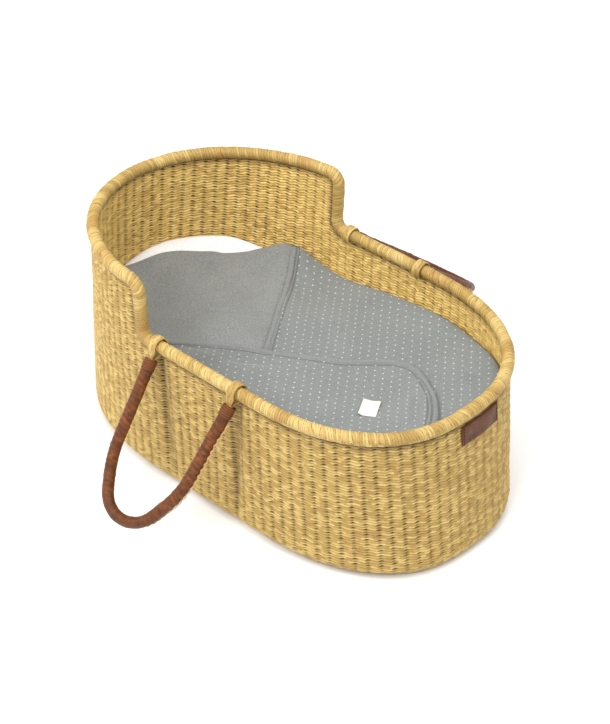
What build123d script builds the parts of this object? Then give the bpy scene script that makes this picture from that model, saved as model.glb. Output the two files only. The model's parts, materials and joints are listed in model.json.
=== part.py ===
"""Woven grass Moses basket with two leather-covered carrying handles and its bedding.

Frame: millimetres, +X towards the foot end, +Y towards the back handle, +Z up.
The origin is the centre of the base's underside, so the basket stands on Z = 0.
"""

import math
import os
from collections import namedtuple

from build123d import *

os.makedirs("parts", exist_ok=True)

# Basket shape: sizes are to the middle of the woven wall
RIM_HALF_LENGTH = 400.0  # at the foot rim's level
RIM_HALF_WIDTH = 241.0
BASE_HALF_LENGTH = 431.0
BASE_HALF_WIDTH = 231.0
RIM_LEVEL = 297.0  # rim's middle line along the sides
HEAD_RIM_LEVEL = 406.0  # rim's middle line round the raised head end
FOOT_DROP = 17.0  # how far the rim has fallen at the foot end
FOOT_DROP_POWER = 1.3
HEAD_BEND_X = -112.0  # straight sides end here; the rim's step down stands here too
FOOT_BEND_X = 120.0
DROP_START_X = 115.0
STEP_RADIUS = 21.0
HEAD_POWER = 2.0  # superellipse power of the round head end
FOOT_POWER = 2.4  # the foot end is a little squarer

# Weave and rim
WALL = 10.0
HALF_WALL = WALL / 2
BASE_CORNER_RADIUS = 30.0
BASE_EDGE_INSET = 34.0
RIM_RADIUS = 12.25
RIM_CORE_RADIUS = 8.0
WALL_TOP_GAP = 11.1  # rim's middle line down to the top of the wall
LOFT_TOP = 420.0
CUT_REACH = 500.0

# Handles: corners of the middle line are along the basket and away from the hinge line,
# measured from the middle of the hinge line; hang is in degrees below level at rest
Handle = namedtuple("Handle", "side centre_x hang corners radii")
FRONT_HANDLE = Handle(
    -1, 16.8, 53.0,
    ((-92.5, 0.0), (-85.0, 203.0), (-49.0, 284.0), (26.0, 284.0), (79.0, 192.0), (93.5, 0.0)),
    (190.0, 52.0, 70.0, 150.0),
)
BACK_HANDLE = Handle(
    1, 6.0, 37.3,
    ((-84.0, 0.0), (-79.0, 195.0), (-43.0, 283.0), (30.0, 283.0), (70.0, 198.0), (84.0, 0.0)),
    (150.0, 56.0, 54.0, 150.0),
)
HANDLES = {"front": FRONT_HANDLE, "back": BACK_HANDLE}
CORE_RADIUS = 6.5
LEATHER_RADIUS = 11.0
CORE_START = 24.0
LEATHER_START = 26.0
LOOP_CLEARANCE = 0.35
LOOP_THICKNESS = 4.4
LOOP_WIDTH = 18.0
LOOP_TAIL_THICKNESS = 8.0
LOOP_SLOT_PLAY = 1.5
END_WRAP_TURNS = 5
END_WRAP_PITCH = 4.0
END_WRAP_WIDTH = 3.4
END_WRAP_THICKNESS = 0.9
LACE_RADIUS = 1.1
LACE_START = 52.0
LACE_TURN = 40.0  # degrees round the handle from its underside

# Leather tab at the foot end
TAB_LOW_Y, TAB_HIGH_Y = -30.0, 66.0
TAB_LOW_Z, TAB_HIGH_Z = 229.0, 265.0
TAB_THICKNESS = 3.0
STITCH_LENGTH, STITCH_WIDTH, STITCH_DEPTH = 5.0, 1.6, 1.0
STITCH_COUNT = 5
STITCH_PITCH = 7.0
STITCH_INSET = 4.0

# Bedding
BEDDING_GAP = 3.0  # to the inside of the wall
PAD_LEVEL, MATTRESS_LEVEL, SHEET_LEVEL = 10.5, 100.0, 192.0
PANEL_LEVEL, FAR_FLAP_LEVEL, NEAR_FLAP_LEVEL, QUILT_TOP = 197.0, 209.0, 223.0, 238.0
SOFT_EDGE = 3.0
PANEL_HEAD_EDGE = ((-372.0, -300.0), (-372.0, 40.0), (-165.0, 300.0))
FAR_FLAP_EDGE = ((-225.0, 265.0), (135.0, -265.0))
NEAR_FLAP_EDGE = ((-250.0, -268.0), (206.0, 104.0), (450.0, -82.0))
NEAR_FLAP_CORNER = 42.0
PIPING_RADIUS = 2.5
BINDING_RADIUS = 3.5
LABEL_SIZE = (30.0, 46.0, 1.2)
LABEL_CENTRE = (238.0, -59.0)
LABEL_TURN = 30.0


def wall_sizes(level, grow=0.0):
    """Half length and half width of the wall's middle surface at a level, grown sideways."""
    rise = level / RIM_LEVEL
    half_length = BASE_HALF_LENGTH + (RIM_HALF_LENGTH - BASE_HALF_LENGTH) * rise
    half_width = BASE_HALF_WIDTH + (RIM_HALF_WIDTH - BASE_HALF_WIDTH) * rise
    return half_length + grow, half_width + grow


def end_point(angle, level, foot, grow=0.0):
    """Point of a rounded end: angle 0 is the tip of the end, 90 where the straight side starts."""
    half_length, half_width = wall_sizes(level, grow)
    bend, power, way = (FOOT_BEND_X, FOOT_POWER, 1) if foot else (HEAD_BEND_X, HEAD_POWER, -1)
    reach = half_length - abs(bend)
    turn = math.radians(angle)
    across = half_width * math.sin(turn) ** (2 / power)
    along = reach * max(math.cos(turn), 0.0) ** (2 / power)
    return bend + way * along, across


def plan_sketch(level, grow=0.0):
    """Plan outline of the wall at one level."""
    half_length, half_width = wall_sizes(level, grow)
    foot_side = [end_point(angle, level, True, grow) for angle in (12, 26, 40, 54, 68, 80)]
    near_side = [(x, -y) for x, y in reversed(foot_side)]
    with BuildSketch(Plane.XY.offset(level)) as plan:
        with BuildLine():
            near = Line((HEAD_BEND_X, -half_width), (FOOT_BEND_X, -half_width))
            foot = Spline(
                near @ 1, *near_side, (half_length, 0), *foot_side, (FOOT_BEND_X, half_width),
                tangents=((1, 0), (-1, 0)),
            )
            far = Line(foot @ 1, (HEAD_BEND_X, half_width))
            EllipticalCenterArc(
                (HEAD_BEND_X, 0), half_length + HEAD_BEND_X, half_width, start_angle=90, arc_size=180
            )
        make_face()
    return plan.sketch


def wall_loft(low, high, grow):
    """Solid inside the wall's middle surface between two levels, grown sideways."""
    with BuildPart() as body:
        loft([plan_sketch(low, grow), plan_sketch(high, grow)], ruled=True)
    return body.part


def write(part, label):
    """Label a finished piece and write its file."""
    part.label = label
    export_step(part, f"parts/{label}.step")


# ---------------------------------------------------------------- woven shell

with BuildPart() as under_rim:
    top = RIM_LEVEL - WALL_TOP_GAP
    head_top = HEAD_RIM_LEVEL - WALL_TOP_GAP
    step_x = HEAD_BEND_X - WALL_TOP_GAP
    inner_radius = STEP_RADIUS - WALL_TOP_GAP
    outer_radius = STEP_RADIUS + WALL_TOP_GAP
    with BuildSketch(Plane.XZ):
        with BuildLine():
            Polyline(
                (DROP_START_X, top), (CUT_REACH, top), (CUT_REACH, -1), (-CUT_REACH, -1),
                (-CUT_REACH, head_top), (step_x - inner_radius, head_top),
            )
            RadiusArc((step_x - inner_radius, head_top), (step_x, head_top - inner_radius), inner_radius)
            Line((step_x, head_top - inner_radius), (step_x, top + outer_radius))
            RadiusArc((step_x, top + outer_radius), (step_x + outer_radius, top), -outer_radius)
            Line((step_x + outer_radius, top), (DROP_START_X, top))
        make_face()
    extrude(amount=CUT_REACH, both=True)

with BuildPart() as above_foot:
    foot_top = top - FOOT_DROP
    with BuildSketch(Plane.XZ):
        with BuildLine():
            falling = Spline(
                (DROP_START_X, top),
                (RIM_HALF_LENGTH, foot_top),
                tangents=((1, 0), (1, -FOOT_DROP * FOOT_DROP_POWER / (RIM_HALF_LENGTH - DROP_START_X))),
            )
            Polyline(falling @ 1, (CUT_REACH, foot_top), (CUT_REACH, LOFT_TOP), (DROP_START_X, LOFT_TOP),
                     falling @ 0)
        make_face()
    extrude(amount=CUT_REACH, both=True)

with BuildPart() as tub:
    add(wall_loft(0, LOFT_TOP, HALF_WALL))
    fillet(tub.edges().group_by(Axis.Z)[0], BASE_CORNER_RADIUS)
    add(under_rim.part, mode=Mode.INTERSECT)
    add(above_foot.part, mode=Mode.SUBTRACT)

with BuildPart() as hollow:
    add(wall_loft(WALL, LOFT_TOP, -HALF_WALL))
    fillet(hollow.edges().group_by(Axis.Z)[0], BASE_CORNER_RADIUS - WALL)

with BuildPart() as base_weave:
    add(plan_sketch(0, -BASE_EDGE_INSET))
    extrude(amount=WALL)
write(base_weave.part, "base_weave")

with BuildPart() as wall_weave:
    add(tub.part)
    add(hollow.part, mode=Mode.SUBTRACT)
    add(base_weave.part, mode=Mode.SUBTRACT)
    for handle in HANDLES.values():
        for corner in (handle.corners[0], handle.corners[-1]):
            x, y = handle.centre_x + corner[0], handle.side * RIM_HALF_WIDTH
            with Locations(Location((x, y, RIM_LEVEL), (0, 90, 0))):
                Cylinder(
                    RIM_RADIUS + LOOP_CLEARANCE + LOOP_THICKNESS + LOOP_SLOT_PLAY / 2,
                    LOOP_WIDTH + 2 * LOOP_SLOT_PLAY,
                    mode=Mode.SUBTRACT,
                )
write(wall_weave.part, "wall_weave")

# ------------------------------------------------------------------------ rim


def rim_point(x, z):
    """Point of the rim's middle line on the back side, above a place on its side profile."""
    half_length, half_width = wall_sizes(z)
    bend, power = (HEAD_BEND_X, HEAD_POWER) if x < 0 else (FOOT_BEND_X, FOOT_POWER)
    past = max(abs(x) - abs(bend), 0.0) / (half_length - abs(bend))
    return x, half_width * max(1 - past**power, 0.0) ** (1 / power), z


def rim_drop(x):
    """Fall of the rim below its side level, towards the foot end."""
    part_way = max(x - DROP_START_X, 0.0) / (RIM_HALF_LENGTH - DROP_START_X)
    return FOOT_DROP * part_way**FOOT_DROP_POWER


def rim_line():
    """Edges of the back half of the rim's middle line, head tip to foot tip."""
    step_start = HEAD_BEND_X - STEP_RADIUS
    step_end = HEAD_BEND_X + STEP_RADIUS
    turns = [math.radians(angle) for angle in (0, 22.5, 45, 67.5, 90)]
    tip_x = -wall_sizes(HEAD_RIM_LEVEL)[0]
    last_angle = math.degrees(math.acos(STEP_RADIUS / (-tip_x + HEAD_BEND_X)))
    head = [end_point(last_angle * k / 7, HEAD_RIM_LEVEL, False) for k in range(8)]
    head = [(x, y, HEAD_RIM_LEVEL) for x, y in head]
    upper = [
        rim_point(step_start + STEP_RADIUS * math.sin(t),
                  HEAD_RIM_LEVEL - STEP_RADIUS + STEP_RADIUS * math.cos(t))
        for t in turns
    ]
    lower = [
        rim_point(step_end - STEP_RADIUS * math.cos(t), RIM_LEVEL + STEP_RADIUS - STEP_RADIUS * math.sin(t))
        for t in turns
    ]
    foot = []
    for angle in (84, 74, 63, 52, 41, 30, 18):
        x, y = end_point(angle, RIM_LEVEL - FOOT_DROP / 2, True)
        foot.append((x, y, RIM_LEVEL - rim_drop(x)))
    foot_tip = (wall_sizes(RIM_LEVEL - FOOT_DROP)[0], 0, RIM_LEVEL - FOOT_DROP)
    into_step = Vector(*upper[0]) - Vector(*head[-2])
    with BuildLine() as line:
        Spline(*head, tangents=((0, 1, 0), into_step))
        Spline(*upper, tangents=(into_step, (0, 0, -1)))
        Line(upper[-1], lower[0])
        Spline(*lower, tangents=((0, 0, -1), (1, 0, 0)))
        Line(lower[-1], (DROP_START_X, RIM_HALF_WIDTH, RIM_LEVEL))
        Spline((DROP_START_X, RIM_HALF_WIDTH, RIM_LEVEL), *foot, foot_tip, tangents=((1, 0, 0), (0, -1, 0)))
    return line


def rim_ring(radius):
    """Solid of the whole rim, round in section."""
    line = rim_line()
    with BuildPart() as ring:
        with BuildSketch(Plane(line.line @ 0, z_dir=line.line % 0)):
            Circle(radius)
        sweep(path=line.line)
        mirror(about=Plane.XZ)
    return ring.part


with BuildPart() as rim_core:
    add(rim_ring(RIM_CORE_RADIUS))
write(rim_core.part, "rim_core")

with BuildPart() as rim_wrap:
    add(rim_ring(RIM_RADIUS))
    add(rim_core.part, mode=Mode.SUBTRACT)
write(rim_wrap.part, "rim_wrap")

# ------------------------------------------------------------------- handles

LOOP_INNER = RIM_RADIUS + LOOP_CLEARANCE
LOOP_OUTER = LOOP_INNER + LOOP_THICKNESS


def handle_plane(handle, rise=0.0):
    """Plane of a hanging handle: x along the basket, y from the hinge line towards the grip."""
    hang = math.radians(handle.hang)
    reach = (0, handle.side * math.cos(hang), -math.sin(hang))
    hinge = (handle.centre_x, handle.side * RIM_HALF_WIDTH, RIM_LEVEL)
    return Plane(origin=hinge, x_dir=(1, 0, 0), z_dir=Vector(1, 0, 0).cross(Vector(*reach))).offset(rise)


def handle_line(handle, start, rise=0.0):
    """Middle line of a handle, or a line above or below it: two long legs and a rounded grip."""
    first, last = handle.corners[0], handle.corners[-1]
    with BuildLine(handle_plane(handle, rise)) as line:
        FilletPolyline(
            (first[0], start), *handle.corners[1:-1], (last[0], start), radius=list(handle.radii)
        )
    return line.line


def tube(path, radius):
    """Round bar along a path."""
    with BuildPart() as bar:
        with BuildSketch(Plane(path @ 0, z_dir=path % 0)):
            Circle(radius)
        sweep(path=path)
    return bar.part


def grass_loop(handle, x):
    """Flat grass loop round the rim, with a tail that runs into the end of the handle."""
    tail_angle = -handle.hang if handle.side > 0 else 180 + handle.hang
    with BuildPart() as loop:
        with BuildSketch(Plane.YZ.offset(x - LOOP_WIDTH / 2)):
            with Locations(Location((handle.side * RIM_HALF_WIDTH, RIM_LEVEL, 0), (0, 0, tail_angle))):
                Circle(LOOP_OUTER)
                Rectangle(CORE_START, LOOP_TAIL_THICKNESS, align=(Align.MIN, Align.CENTER))
                Circle(LOOP_INNER, mode=Mode.SUBTRACT)
        extrude(amount=LOOP_WIDTH)
    return loop.part


def end_wrap(path, from_start):
    """Separate turns of the thin leather lace that binds one end of a handle."""
    length = sum(edge.length for edge in path.edges())
    with BuildPart() as wrap:
        for turn in range(END_WRAP_TURNS):
            place = (turn * END_WRAP_PITCH + END_WRAP_WIDTH / 2) / length
            place = place if from_start else 1 - place
            with BuildSketch(Plane(path @ place, z_dir=path % place)):
                Circle(LEATHER_RADIUS + END_WRAP_THICKNESS)
                Circle(LEATHER_RADIUS, mode=Mode.SUBTRACT)
            extrude(amount=END_WRAP_WIDTH / 2, both=True)
    return wrap.part


for name, handle in HANDLES.items():
    leather_line = handle_line(handle, LEATHER_START)
    lace_turn = math.radians(LACE_TURN)
    lace_reach = LEATHER_RADIUS + LACE_RADIUS
    under_line = handle_line(handle, LACE_START, -handle.side * lace_reach * math.cos(lace_turn))
    outer_side = Side.LEFT if handle.side > 0 else Side.RIGHT
    lace_line = offset(under_line, lace_reach * math.sin(lace_turn), side=outer_side, closed=False)

    with BuildPart() as handle_core:
        add(tube(handle_line(handle, CORE_START), CORE_RADIUS))
    write(handle_core.part, f"{name}_handle_core")

    with BuildPart() as handle_leather:
        add(tube(leather_line, LEATHER_RADIUS))
        add(handle_core.part, mode=Mode.SUBTRACT)
    write(handle_leather.part, f"{name}_handle_leather")

    with BuildPart() as handle_lacing:
        add(tube(lace_line, LACE_RADIUS))
    write(handle_lacing.part, f"{name}_handle_lacing")

    for end, from_start, corner in (("head", True, handle.corners[0]), ("foot", False, handle.corners[-1])):
        write(end_wrap(leather_line, from_start), f"{name}_{end}_end_wrap")
        write(grass_loop(handle, handle.centre_x + corner[0]), f"{name}_{end}_loop")

# --------------------------------------------------------------- leather tab

with BuildPart() as leather_tab:
    add(wall_loft(0, LOFT_TOP, HALF_WALL + TAB_THICKNESS))
    add(wall_loft(0, LOFT_TOP, HALF_WALL), mode=Mode.SUBTRACT)
    with Locations((RIM_HALF_LENGTH, (TAB_LOW_Y + TAB_HIGH_Y) / 2, (TAB_LOW_Z + TAB_HIGH_Z) / 2)):
        Box(2 * CUT_REACH - RIM_HALF_LENGTH, TAB_HIGH_Y - TAB_LOW_Y, TAB_HIGH_Z - TAB_LOW_Z,
            mode=Mode.INTERSECT)
write(leather_tab.part, "leather_tab")


def outside_x(y, z, grow):
    """Place of the foot end's surface along X, at a height and a distance across."""
    half_length, half_width = wall_sizes(z, grow)
    across = min(abs(y) / half_width, 1.0)
    return FOOT_BEND_X + (half_length - FOOT_BEND_X) * (1 - across**FOOT_POWER) ** (1 / FOOT_POWER)


with BuildPart() as tab_stitches:
    for y in (TAB_LOW_Y + STITCH_INSET, TAB_HIGH_Y - STITCH_INSET):
        for k in range(STITCH_COUNT):
            z = (TAB_LOW_Z + TAB_HIGH_Z) / 2 + (k - (STITCH_COUNT - 1) / 2) * STITCH_PITCH
            x = outside_x(y, z, HALF_WALL + TAB_THICKNESS) + STITCH_DEPTH / 2
            with Locations((x, y, z)):
                Box(STITCH_DEPTH, STITCH_WIDTH, STITCH_LENGTH)
write(tab_stitches.part, "tab_stitches")

# ------------------------------------------------------------------- bedding


def cushion(low, high, keep=None):
    """Slab that fills the basket between two levels, or the part of it inside a sketch."""
    with BuildPart() as slab:
        add(wall_loft(low, high, -HALF_WALL - BEDDING_GAP))
        if keep is not None:
            extrude(keep, amount=high, mode=Mode.INTERSECT)
    return slab.part


def region(*corners, corner_radius=0.0):
    """Plan region inside a run of corners."""
    with BuildSketch() as area:
        with BuildLine():
            Polyline(*corners, close=True)
        make_face()
        if corner_radius:
            fillet(area.vertices().sort_by(Axis.Y)[-1], corner_radius)
    return area.sketch


def edging(path, radius):
    """Round cord sewn along the free edge of a flap, kept inside the basket."""
    with BuildPart() as cord:
        add(tube(path, radius))
        add(wall_loft(PAD_LEVEL, LOFT_TOP, -HALF_WALL - BEDDING_GAP), mode=Mode.INTERSECT)
    return cord.part


with BuildPart() as base_pad:
    add(cushion(PAD_LEVEL, MATTRESS_LEVEL))
    fillet(base_pad.edges().group_by(Axis.Z)[0], BASE_CORNER_RADIUS - WALL + SOFT_EDGE)
write(base_pad.part, "base_pad")

write(cushion(MATTRESS_LEVEL, SHEET_LEVEL), "mattress_foam")
write(cushion(SHEET_LEVEL, PANEL_LEVEL), "fitted_sheet")

panel_area = region(*PANEL_HEAD_EDGE, (CUT_REACH, CUT_REACH), (CUT_REACH, -CUT_REACH))
write(cushion(PANEL_LEVEL, FAR_FLAP_LEVEL, panel_area), "quilt_under_panel")

far_area = region(*FAR_FLAP_EDGE, (CUT_REACH, -CUT_REACH), (CUT_REACH, CUT_REACH))
write(cushion(FAR_FLAP_LEVEL, NEAR_FLAP_LEVEL, far_area), "quilt_far_flap")
with BuildLine(Plane.XY.offset(FAR_FLAP_LEVEL + PIPING_RADIUS)) as far_edge:
    Line(*FAR_FLAP_EDGE)
far_shift = (far_edge.line % 0).rotate(Axis.Z, -90) * PIPING_RADIUS
write(edging(far_edge.line.moved(Location(far_shift)), PIPING_RADIUS), "far_flap_piping")

near_area = region(
    *NEAR_FLAP_EDGE, (CUT_REACH, -CUT_REACH), (NEAR_FLAP_EDGE[0][0], -CUT_REACH),
    corner_radius=NEAR_FLAP_CORNER,
)
write(cushion(NEAR_FLAP_LEVEL, QUILT_TOP, near_area), "quilt_near_flap")
with BuildLine(Plane.XY.offset((NEAR_FLAP_LEVEL + QUILT_TOP) / 2)) as near_edge:
    FilletPolyline(*NEAR_FLAP_EDGE, radius=NEAR_FLAP_CORNER)
near_cord = offset(near_edge.line, BINDING_RADIUS, side=Side.LEFT, closed=False)
write(edging(near_cord, BINDING_RADIUS), "near_flap_binding")

with BuildPart() as care_label:
    with Locations(Location((*LABEL_CENTRE, QUILT_TOP + LABEL_SIZE[2] / 2), (0, 0, LABEL_TURN))):
        Box(*LABEL_SIZE)
write(care_label.part, "care_label")
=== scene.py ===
"""Looks of a woven grass Moses basket, built round its packed model and in its frame, in metres.

Laid out as an add-on: settings, one operator for each piece or group of like pieces, and a sidebar panel.
"""
import json
import math

import bmesh
import bpy
import numpy as np
from bpy.props import FloatProperty, FloatVectorProperty, IntProperty, PointerProperty
from mathutils import Matrix, Vector


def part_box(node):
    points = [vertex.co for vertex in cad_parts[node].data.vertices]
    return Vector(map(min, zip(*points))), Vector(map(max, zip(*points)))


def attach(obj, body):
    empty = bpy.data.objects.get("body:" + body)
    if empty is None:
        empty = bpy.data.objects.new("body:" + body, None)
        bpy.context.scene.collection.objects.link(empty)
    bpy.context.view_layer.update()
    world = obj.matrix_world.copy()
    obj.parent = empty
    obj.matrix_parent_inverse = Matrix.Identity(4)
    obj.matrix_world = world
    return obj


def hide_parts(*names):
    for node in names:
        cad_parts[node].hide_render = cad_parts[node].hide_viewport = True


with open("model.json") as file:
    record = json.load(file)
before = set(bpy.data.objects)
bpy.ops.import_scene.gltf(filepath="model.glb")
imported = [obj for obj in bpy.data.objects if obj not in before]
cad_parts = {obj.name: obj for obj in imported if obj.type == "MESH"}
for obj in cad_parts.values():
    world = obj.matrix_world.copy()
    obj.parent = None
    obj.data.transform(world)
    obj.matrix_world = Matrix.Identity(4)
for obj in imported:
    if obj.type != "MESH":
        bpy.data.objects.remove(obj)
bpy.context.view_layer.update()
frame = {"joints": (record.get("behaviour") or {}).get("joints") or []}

bl_info = {
    "name": "Moses Basket",
    "version": (1, 0, 0),
    "blender": (4, 5, 0),
    "location": "View3D > Sidebar > Basket",
    "description": "Makes the woven wall, wound rim, leather handles and bedding of a grass Moses basket",
    "category": "Object",
}

# Read from the packed model: the rim's far corner and the two hinges
RIM_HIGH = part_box("rim_wrap")[1]
HINGES = {joint["child"]: joint for joint in frame["joints"]}

# The rim's middle line lies this far inside its outermost point at the foot end
RIM_REACH = 0.0145


def linear(red, green, blue):
    """A colour given as it looks on a screen, 0 to 255, as the linear numbers that shaders take."""
    shares = (red / 255, green / 255, blue / 255)
    return tuple(((c + 0.055) / 1.055) ** 2.4 if c > 0.04 else c / 12.92 for c in shares)


def toned(colour, share):
    """A colour made lighter or darker."""
    return tuple(share * c for c in colour)


# ------------------------------------------------------------------ settings


class BasketShape(bpy.types.PropertyGroup):
    """Sizes of the basket to the middle of its wall and rim."""

    rim_radius: FloatProperty(
        name="Rim radius", description="Radius of the wound rim", default=0.01225, unit="LENGTH")
    rim_half_length: FloatProperty(
        name="Rim half length", description="Middle of the basket to the rim's middle line at the foot end",
        default=RIM_HIGH.x - RIM_REACH, unit="LENGTH")
    rim_half_width: FloatProperty(
        name="Rim half width", description="Middle of the basket to the rim's middle line along the sides",
        default=0.241, unit="LENGTH")
    base_half_length: FloatProperty(
        name="Base half length", description="Half length of the wall at floor level",
        default=0.431, unit="LENGTH")
    base_half_width: FloatProperty(
        name="Base half width", description="Half width of the wall at floor level",
        default=0.231, unit="LENGTH")
    rim_level: FloatProperty(
        name="Rim level", description="Height of the rim's middle line along the sides",
        default=0.297, unit="LENGTH")
    head_level: FloatProperty(
        name="Head rim level", description="Height of the rim's middle line round the raised head end",
        default=0.406, unit="LENGTH")
    foot_drop: FloatProperty(
        name="Foot drop", description="Fall of the rim at the foot end", default=0.017, unit="LENGTH")
    head_bend: FloatProperty(
        name="Head bend", description="Where the straight sides and the raised rim end",
        default=-0.112, unit="LENGTH")
    foot_bend: FloatProperty(
        name="Foot bend", description="Where the straight sides meet the round foot end",
        default=0.120, unit="LENGTH")
    step_radius: FloatProperty(
        name="Step radius", description="Radius of the two bends where the rim steps down",
        default=0.021, unit="LENGTH")
    wall: FloatProperty(name="Wall", description="Thickness of the woven wall", default=0.010, unit="LENGTH")
    corner: FloatProperty(
        name="Base corner", description="Radius where the wall turns into the base",
        default=0.030, unit="LENGTH")


class BasketWeave(bpy.types.PropertyGroup):
    """The twined grass and the wound rim."""

    stakes: IntProperty(name="Stakes", description="Upright stakes round the basket", default=104)
    row: FloatProperty(name="Row", description="Height of one twined row", default=0.0056, unit="LENGTH")
    relief: FloatProperty(
        name="Relief", description="How far a strand stands out over a stake", default=0.0034, unit="LENGTH")
    strip: FloatProperty(
        name="Strip", description="Width of the grass strips wound round the rim", default=0.0046,
        unit="LENGTH")
    crease: FloatProperty(
        name="Crease", description="Depth of the upright folds below the handle loops", default=0.007,
        unit="LENGTH")


class BasketColours(bpy.types.PropertyGroup):
    """Colours of the finishes."""

    grass: FloatVectorProperty(
        name="Grass", description="Dry grass of the weave", subtype="COLOR", default=linear(201, 168, 94))
    grass_light: FloatVectorProperty(
        name="Light grass", description="Palest strands", subtype="COLOR", default=linear(226, 196, 122))
    rim: FloatVectorProperty(
        name="Rim grass", description="Grass strips of the rim and the handle loops", subtype="COLOR",
        default=linear(183, 150, 81))
    rim_light: FloatVectorProperty(
        name="Light rim grass", description="Palest strips of the rim", subtype="COLOR",
        default=linear(207, 179, 111))
    grass_tan: FloatVectorProperty(
        name="Tan grass", description="Warmest strands", subtype="COLOR", default=linear(188, 132, 70))
    gap: FloatVectorProperty(
        name="Gap", description="Shadowed gaps between strands", subtype="COLOR", default=linear(62, 40, 14))
    leather: FloatVectorProperty(
        name="Leather", description="Brown leather", subtype="COLOR", default=linear(101, 54, 19))
    melange: FloatVectorProperty(
        name="Melange", description="Plain side of the quilt", subtype="COLOR",
        default=linear(124, 126, 124))
    jersey: FloatVectorProperty(
        name="Jersey", description="Dotted side of the quilt", subtype="COLOR",
        default=linear(117, 120, 118))
    sheet: FloatVectorProperty(
        name="Sheet", description="White cotton sheet", subtype="COLOR", default=linear(222, 218, 214))


SETTINGS = {"basket_shape": BasketShape, "basket_weave": BasketWeave, "basket_colours": BasketColours}


def settings_of(context):
    """The three groups of settings: shape, weave and colours."""
    return tuple(getattr(context.scene, name) for name in SETTINGS)


def settle(piece, node, slot, body="basket"):
    """Puts a piece on its body and hides the packed node it stands in for. The slot is not used."""
    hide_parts(node)
    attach(piece, body)


# --------------------------------------------------------------- basket form


class Form:
    """The basket's outline at any level, read from the settings."""

    HEAD_POWER, FOOT_POWER, DROP_POWER = 2.0, 2.4, 1.3
    DROP_START = 0.115
    TABLE_STEPS = 4000
    MIDDLE_LEVEL = 0.150

    def __init__(self, shape):
        self.s = shape
        self.arc = self._arc_table()

    def sizes(self, level):
        """Half length and half width at a level."""
        s = self.s
        rise = np.asarray(level) / s.rim_level
        half_length = s.base_half_length + (s.rim_half_length - s.base_half_length) * rise
        half_width = s.base_half_width + (s.rim_half_width - s.base_half_width) * rise
        return half_length, half_width

    def _by_turn(self, turn, level, grow):
        """Outline point. turn: 0-1 near side, 1-2 foot end, 2-3 far side, 3-4 head end."""
        s = self.s
        half_length, half_width = self.sizes(level)
        half_length, half_width = half_length + grow, half_width + grow
        turn = np.mod(turn, 4.0)
        straight = s.head_bend + (s.foot_bend - s.head_bend) * np.where(turn < 1, turn, 3 - turn)
        foot_angle, head_angle = (turn - 1.5) * math.pi, (turn - 3.5) * math.pi
        foot = (turn >= 1) & (turn < 2)
        head = turn >= 3
        angle = np.where(foot, foot_angle, head_angle)
        power = np.where(foot, self.FOOT_POWER, self.HEAD_POWER)
        across = np.sign(np.sin(angle)) * np.abs(np.sin(angle)) ** (2 / power)
        along = np.abs(np.cos(angle)) ** (2 / power)
        x = np.where(foot, s.foot_bend + (half_length - s.foot_bend) * along, straight)
        x = np.where(head, s.head_bend - (half_length + s.head_bend) * along, x)
        y = np.where(turn < 1, -half_width, half_width)
        y = np.where(foot, half_width * across, y)
        y = np.where(head, -half_width * across, y)
        return x, y

    def _arc_table(self):
        """Shares of the girth at which the outline's turns lie."""
        turn = np.linspace(0, 4, self.TABLE_STEPS + 1)
        x, y = self._by_turn(np.append(turn[:-1], 0.0), self.MIDDLE_LEVEL, 0.0)
        length = np.concatenate([[0], np.cumsum(np.hypot(np.diff(x), np.diff(y)))])
        return length / length[-1], turn

    def at(self, u, level, grow=0.0):
        """Outline point a share u of the way round, from the near side's head end towards the foot."""
        turn = np.interp(np.mod(u, 1.0), *self.arc)
        return self._by_turn(turn, level, grow)

    def drop(self, x):
        """Fall of the rim towards the foot end."""
        s = self.s
        share = np.clip((x - self.DROP_START) / (s.rim_half_length - self.DROP_START), 0, 1.1)
        return s.foot_drop * share**self.DROP_POWER

    def above_rim(self, x, z, under):
        """True where a point of the wall would stand above a line that far below the rim."""
        s = self.s
        head = z > s.head_level - under
        low = z > s.rim_level - self.drop(x) - under
        radius = s.step_radius
        corner_x, corner_z = s.head_bend + radius, s.rim_level + radius
        in_corner = (x < corner_x) & (z < corner_z)
        round_low = np.hypot(x - corner_x, z - corner_z) < radius + under
        step = np.where(in_corner, round_low, x > s.head_bend - under)
        top_x, top_z = s.head_bend - radius, s.head_level - radius
        in_top = (x > top_x) & (z > top_z)
        round_top = np.hypot(x - top_x, z - top_z) > radius - under
        return np.where(x > corner_x, low, head | step | (in_top & round_top))


# ---------------------------------------------------------- points and meshes


def unit(arrows):
    """The same arrows, one unit long."""
    return arrows / np.linalg.norm(arrows, axis=-1, keepdims=True)


def bell(distance, width):
    """1 at no distance, fading smoothly to both sides."""
    return np.exp(-((distance / width) ** 2))


def smooth_step(value, low, high):
    """0 below low, 1 above high, and smoothly from one to the other between them."""
    share = np.clip((value - low) / (high - low), 0, 1)
    return share * share * (3 - 2 * share)


def from_middle(count):
    """How far a running count is past the middle of its own step, from -0.5 to 0.5."""
    return count - np.floor(count) - 0.5


def rounded_back(offset, power, softness):
    """Height of a strand's back, 0 at its two edges and 1 in the middle, from its offset of up to 0.5."""
    return np.clip(1 - (2 * np.abs(offset)) ** power, 0, 1) ** softness


def whole_turn(count):
    """Evenly spaced angles once round."""
    return np.linspace(0, 2 * math.pi, count, endpoint=False)


def quads(index):
    """Four-sided faces between the neighbours in a grid of point numbers."""
    return np.stack([index[:-1, :-1], index[:-1, 1:], index[1:, 1:], index[1:, :-1]], -1).reshape(-1, 4)


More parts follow.
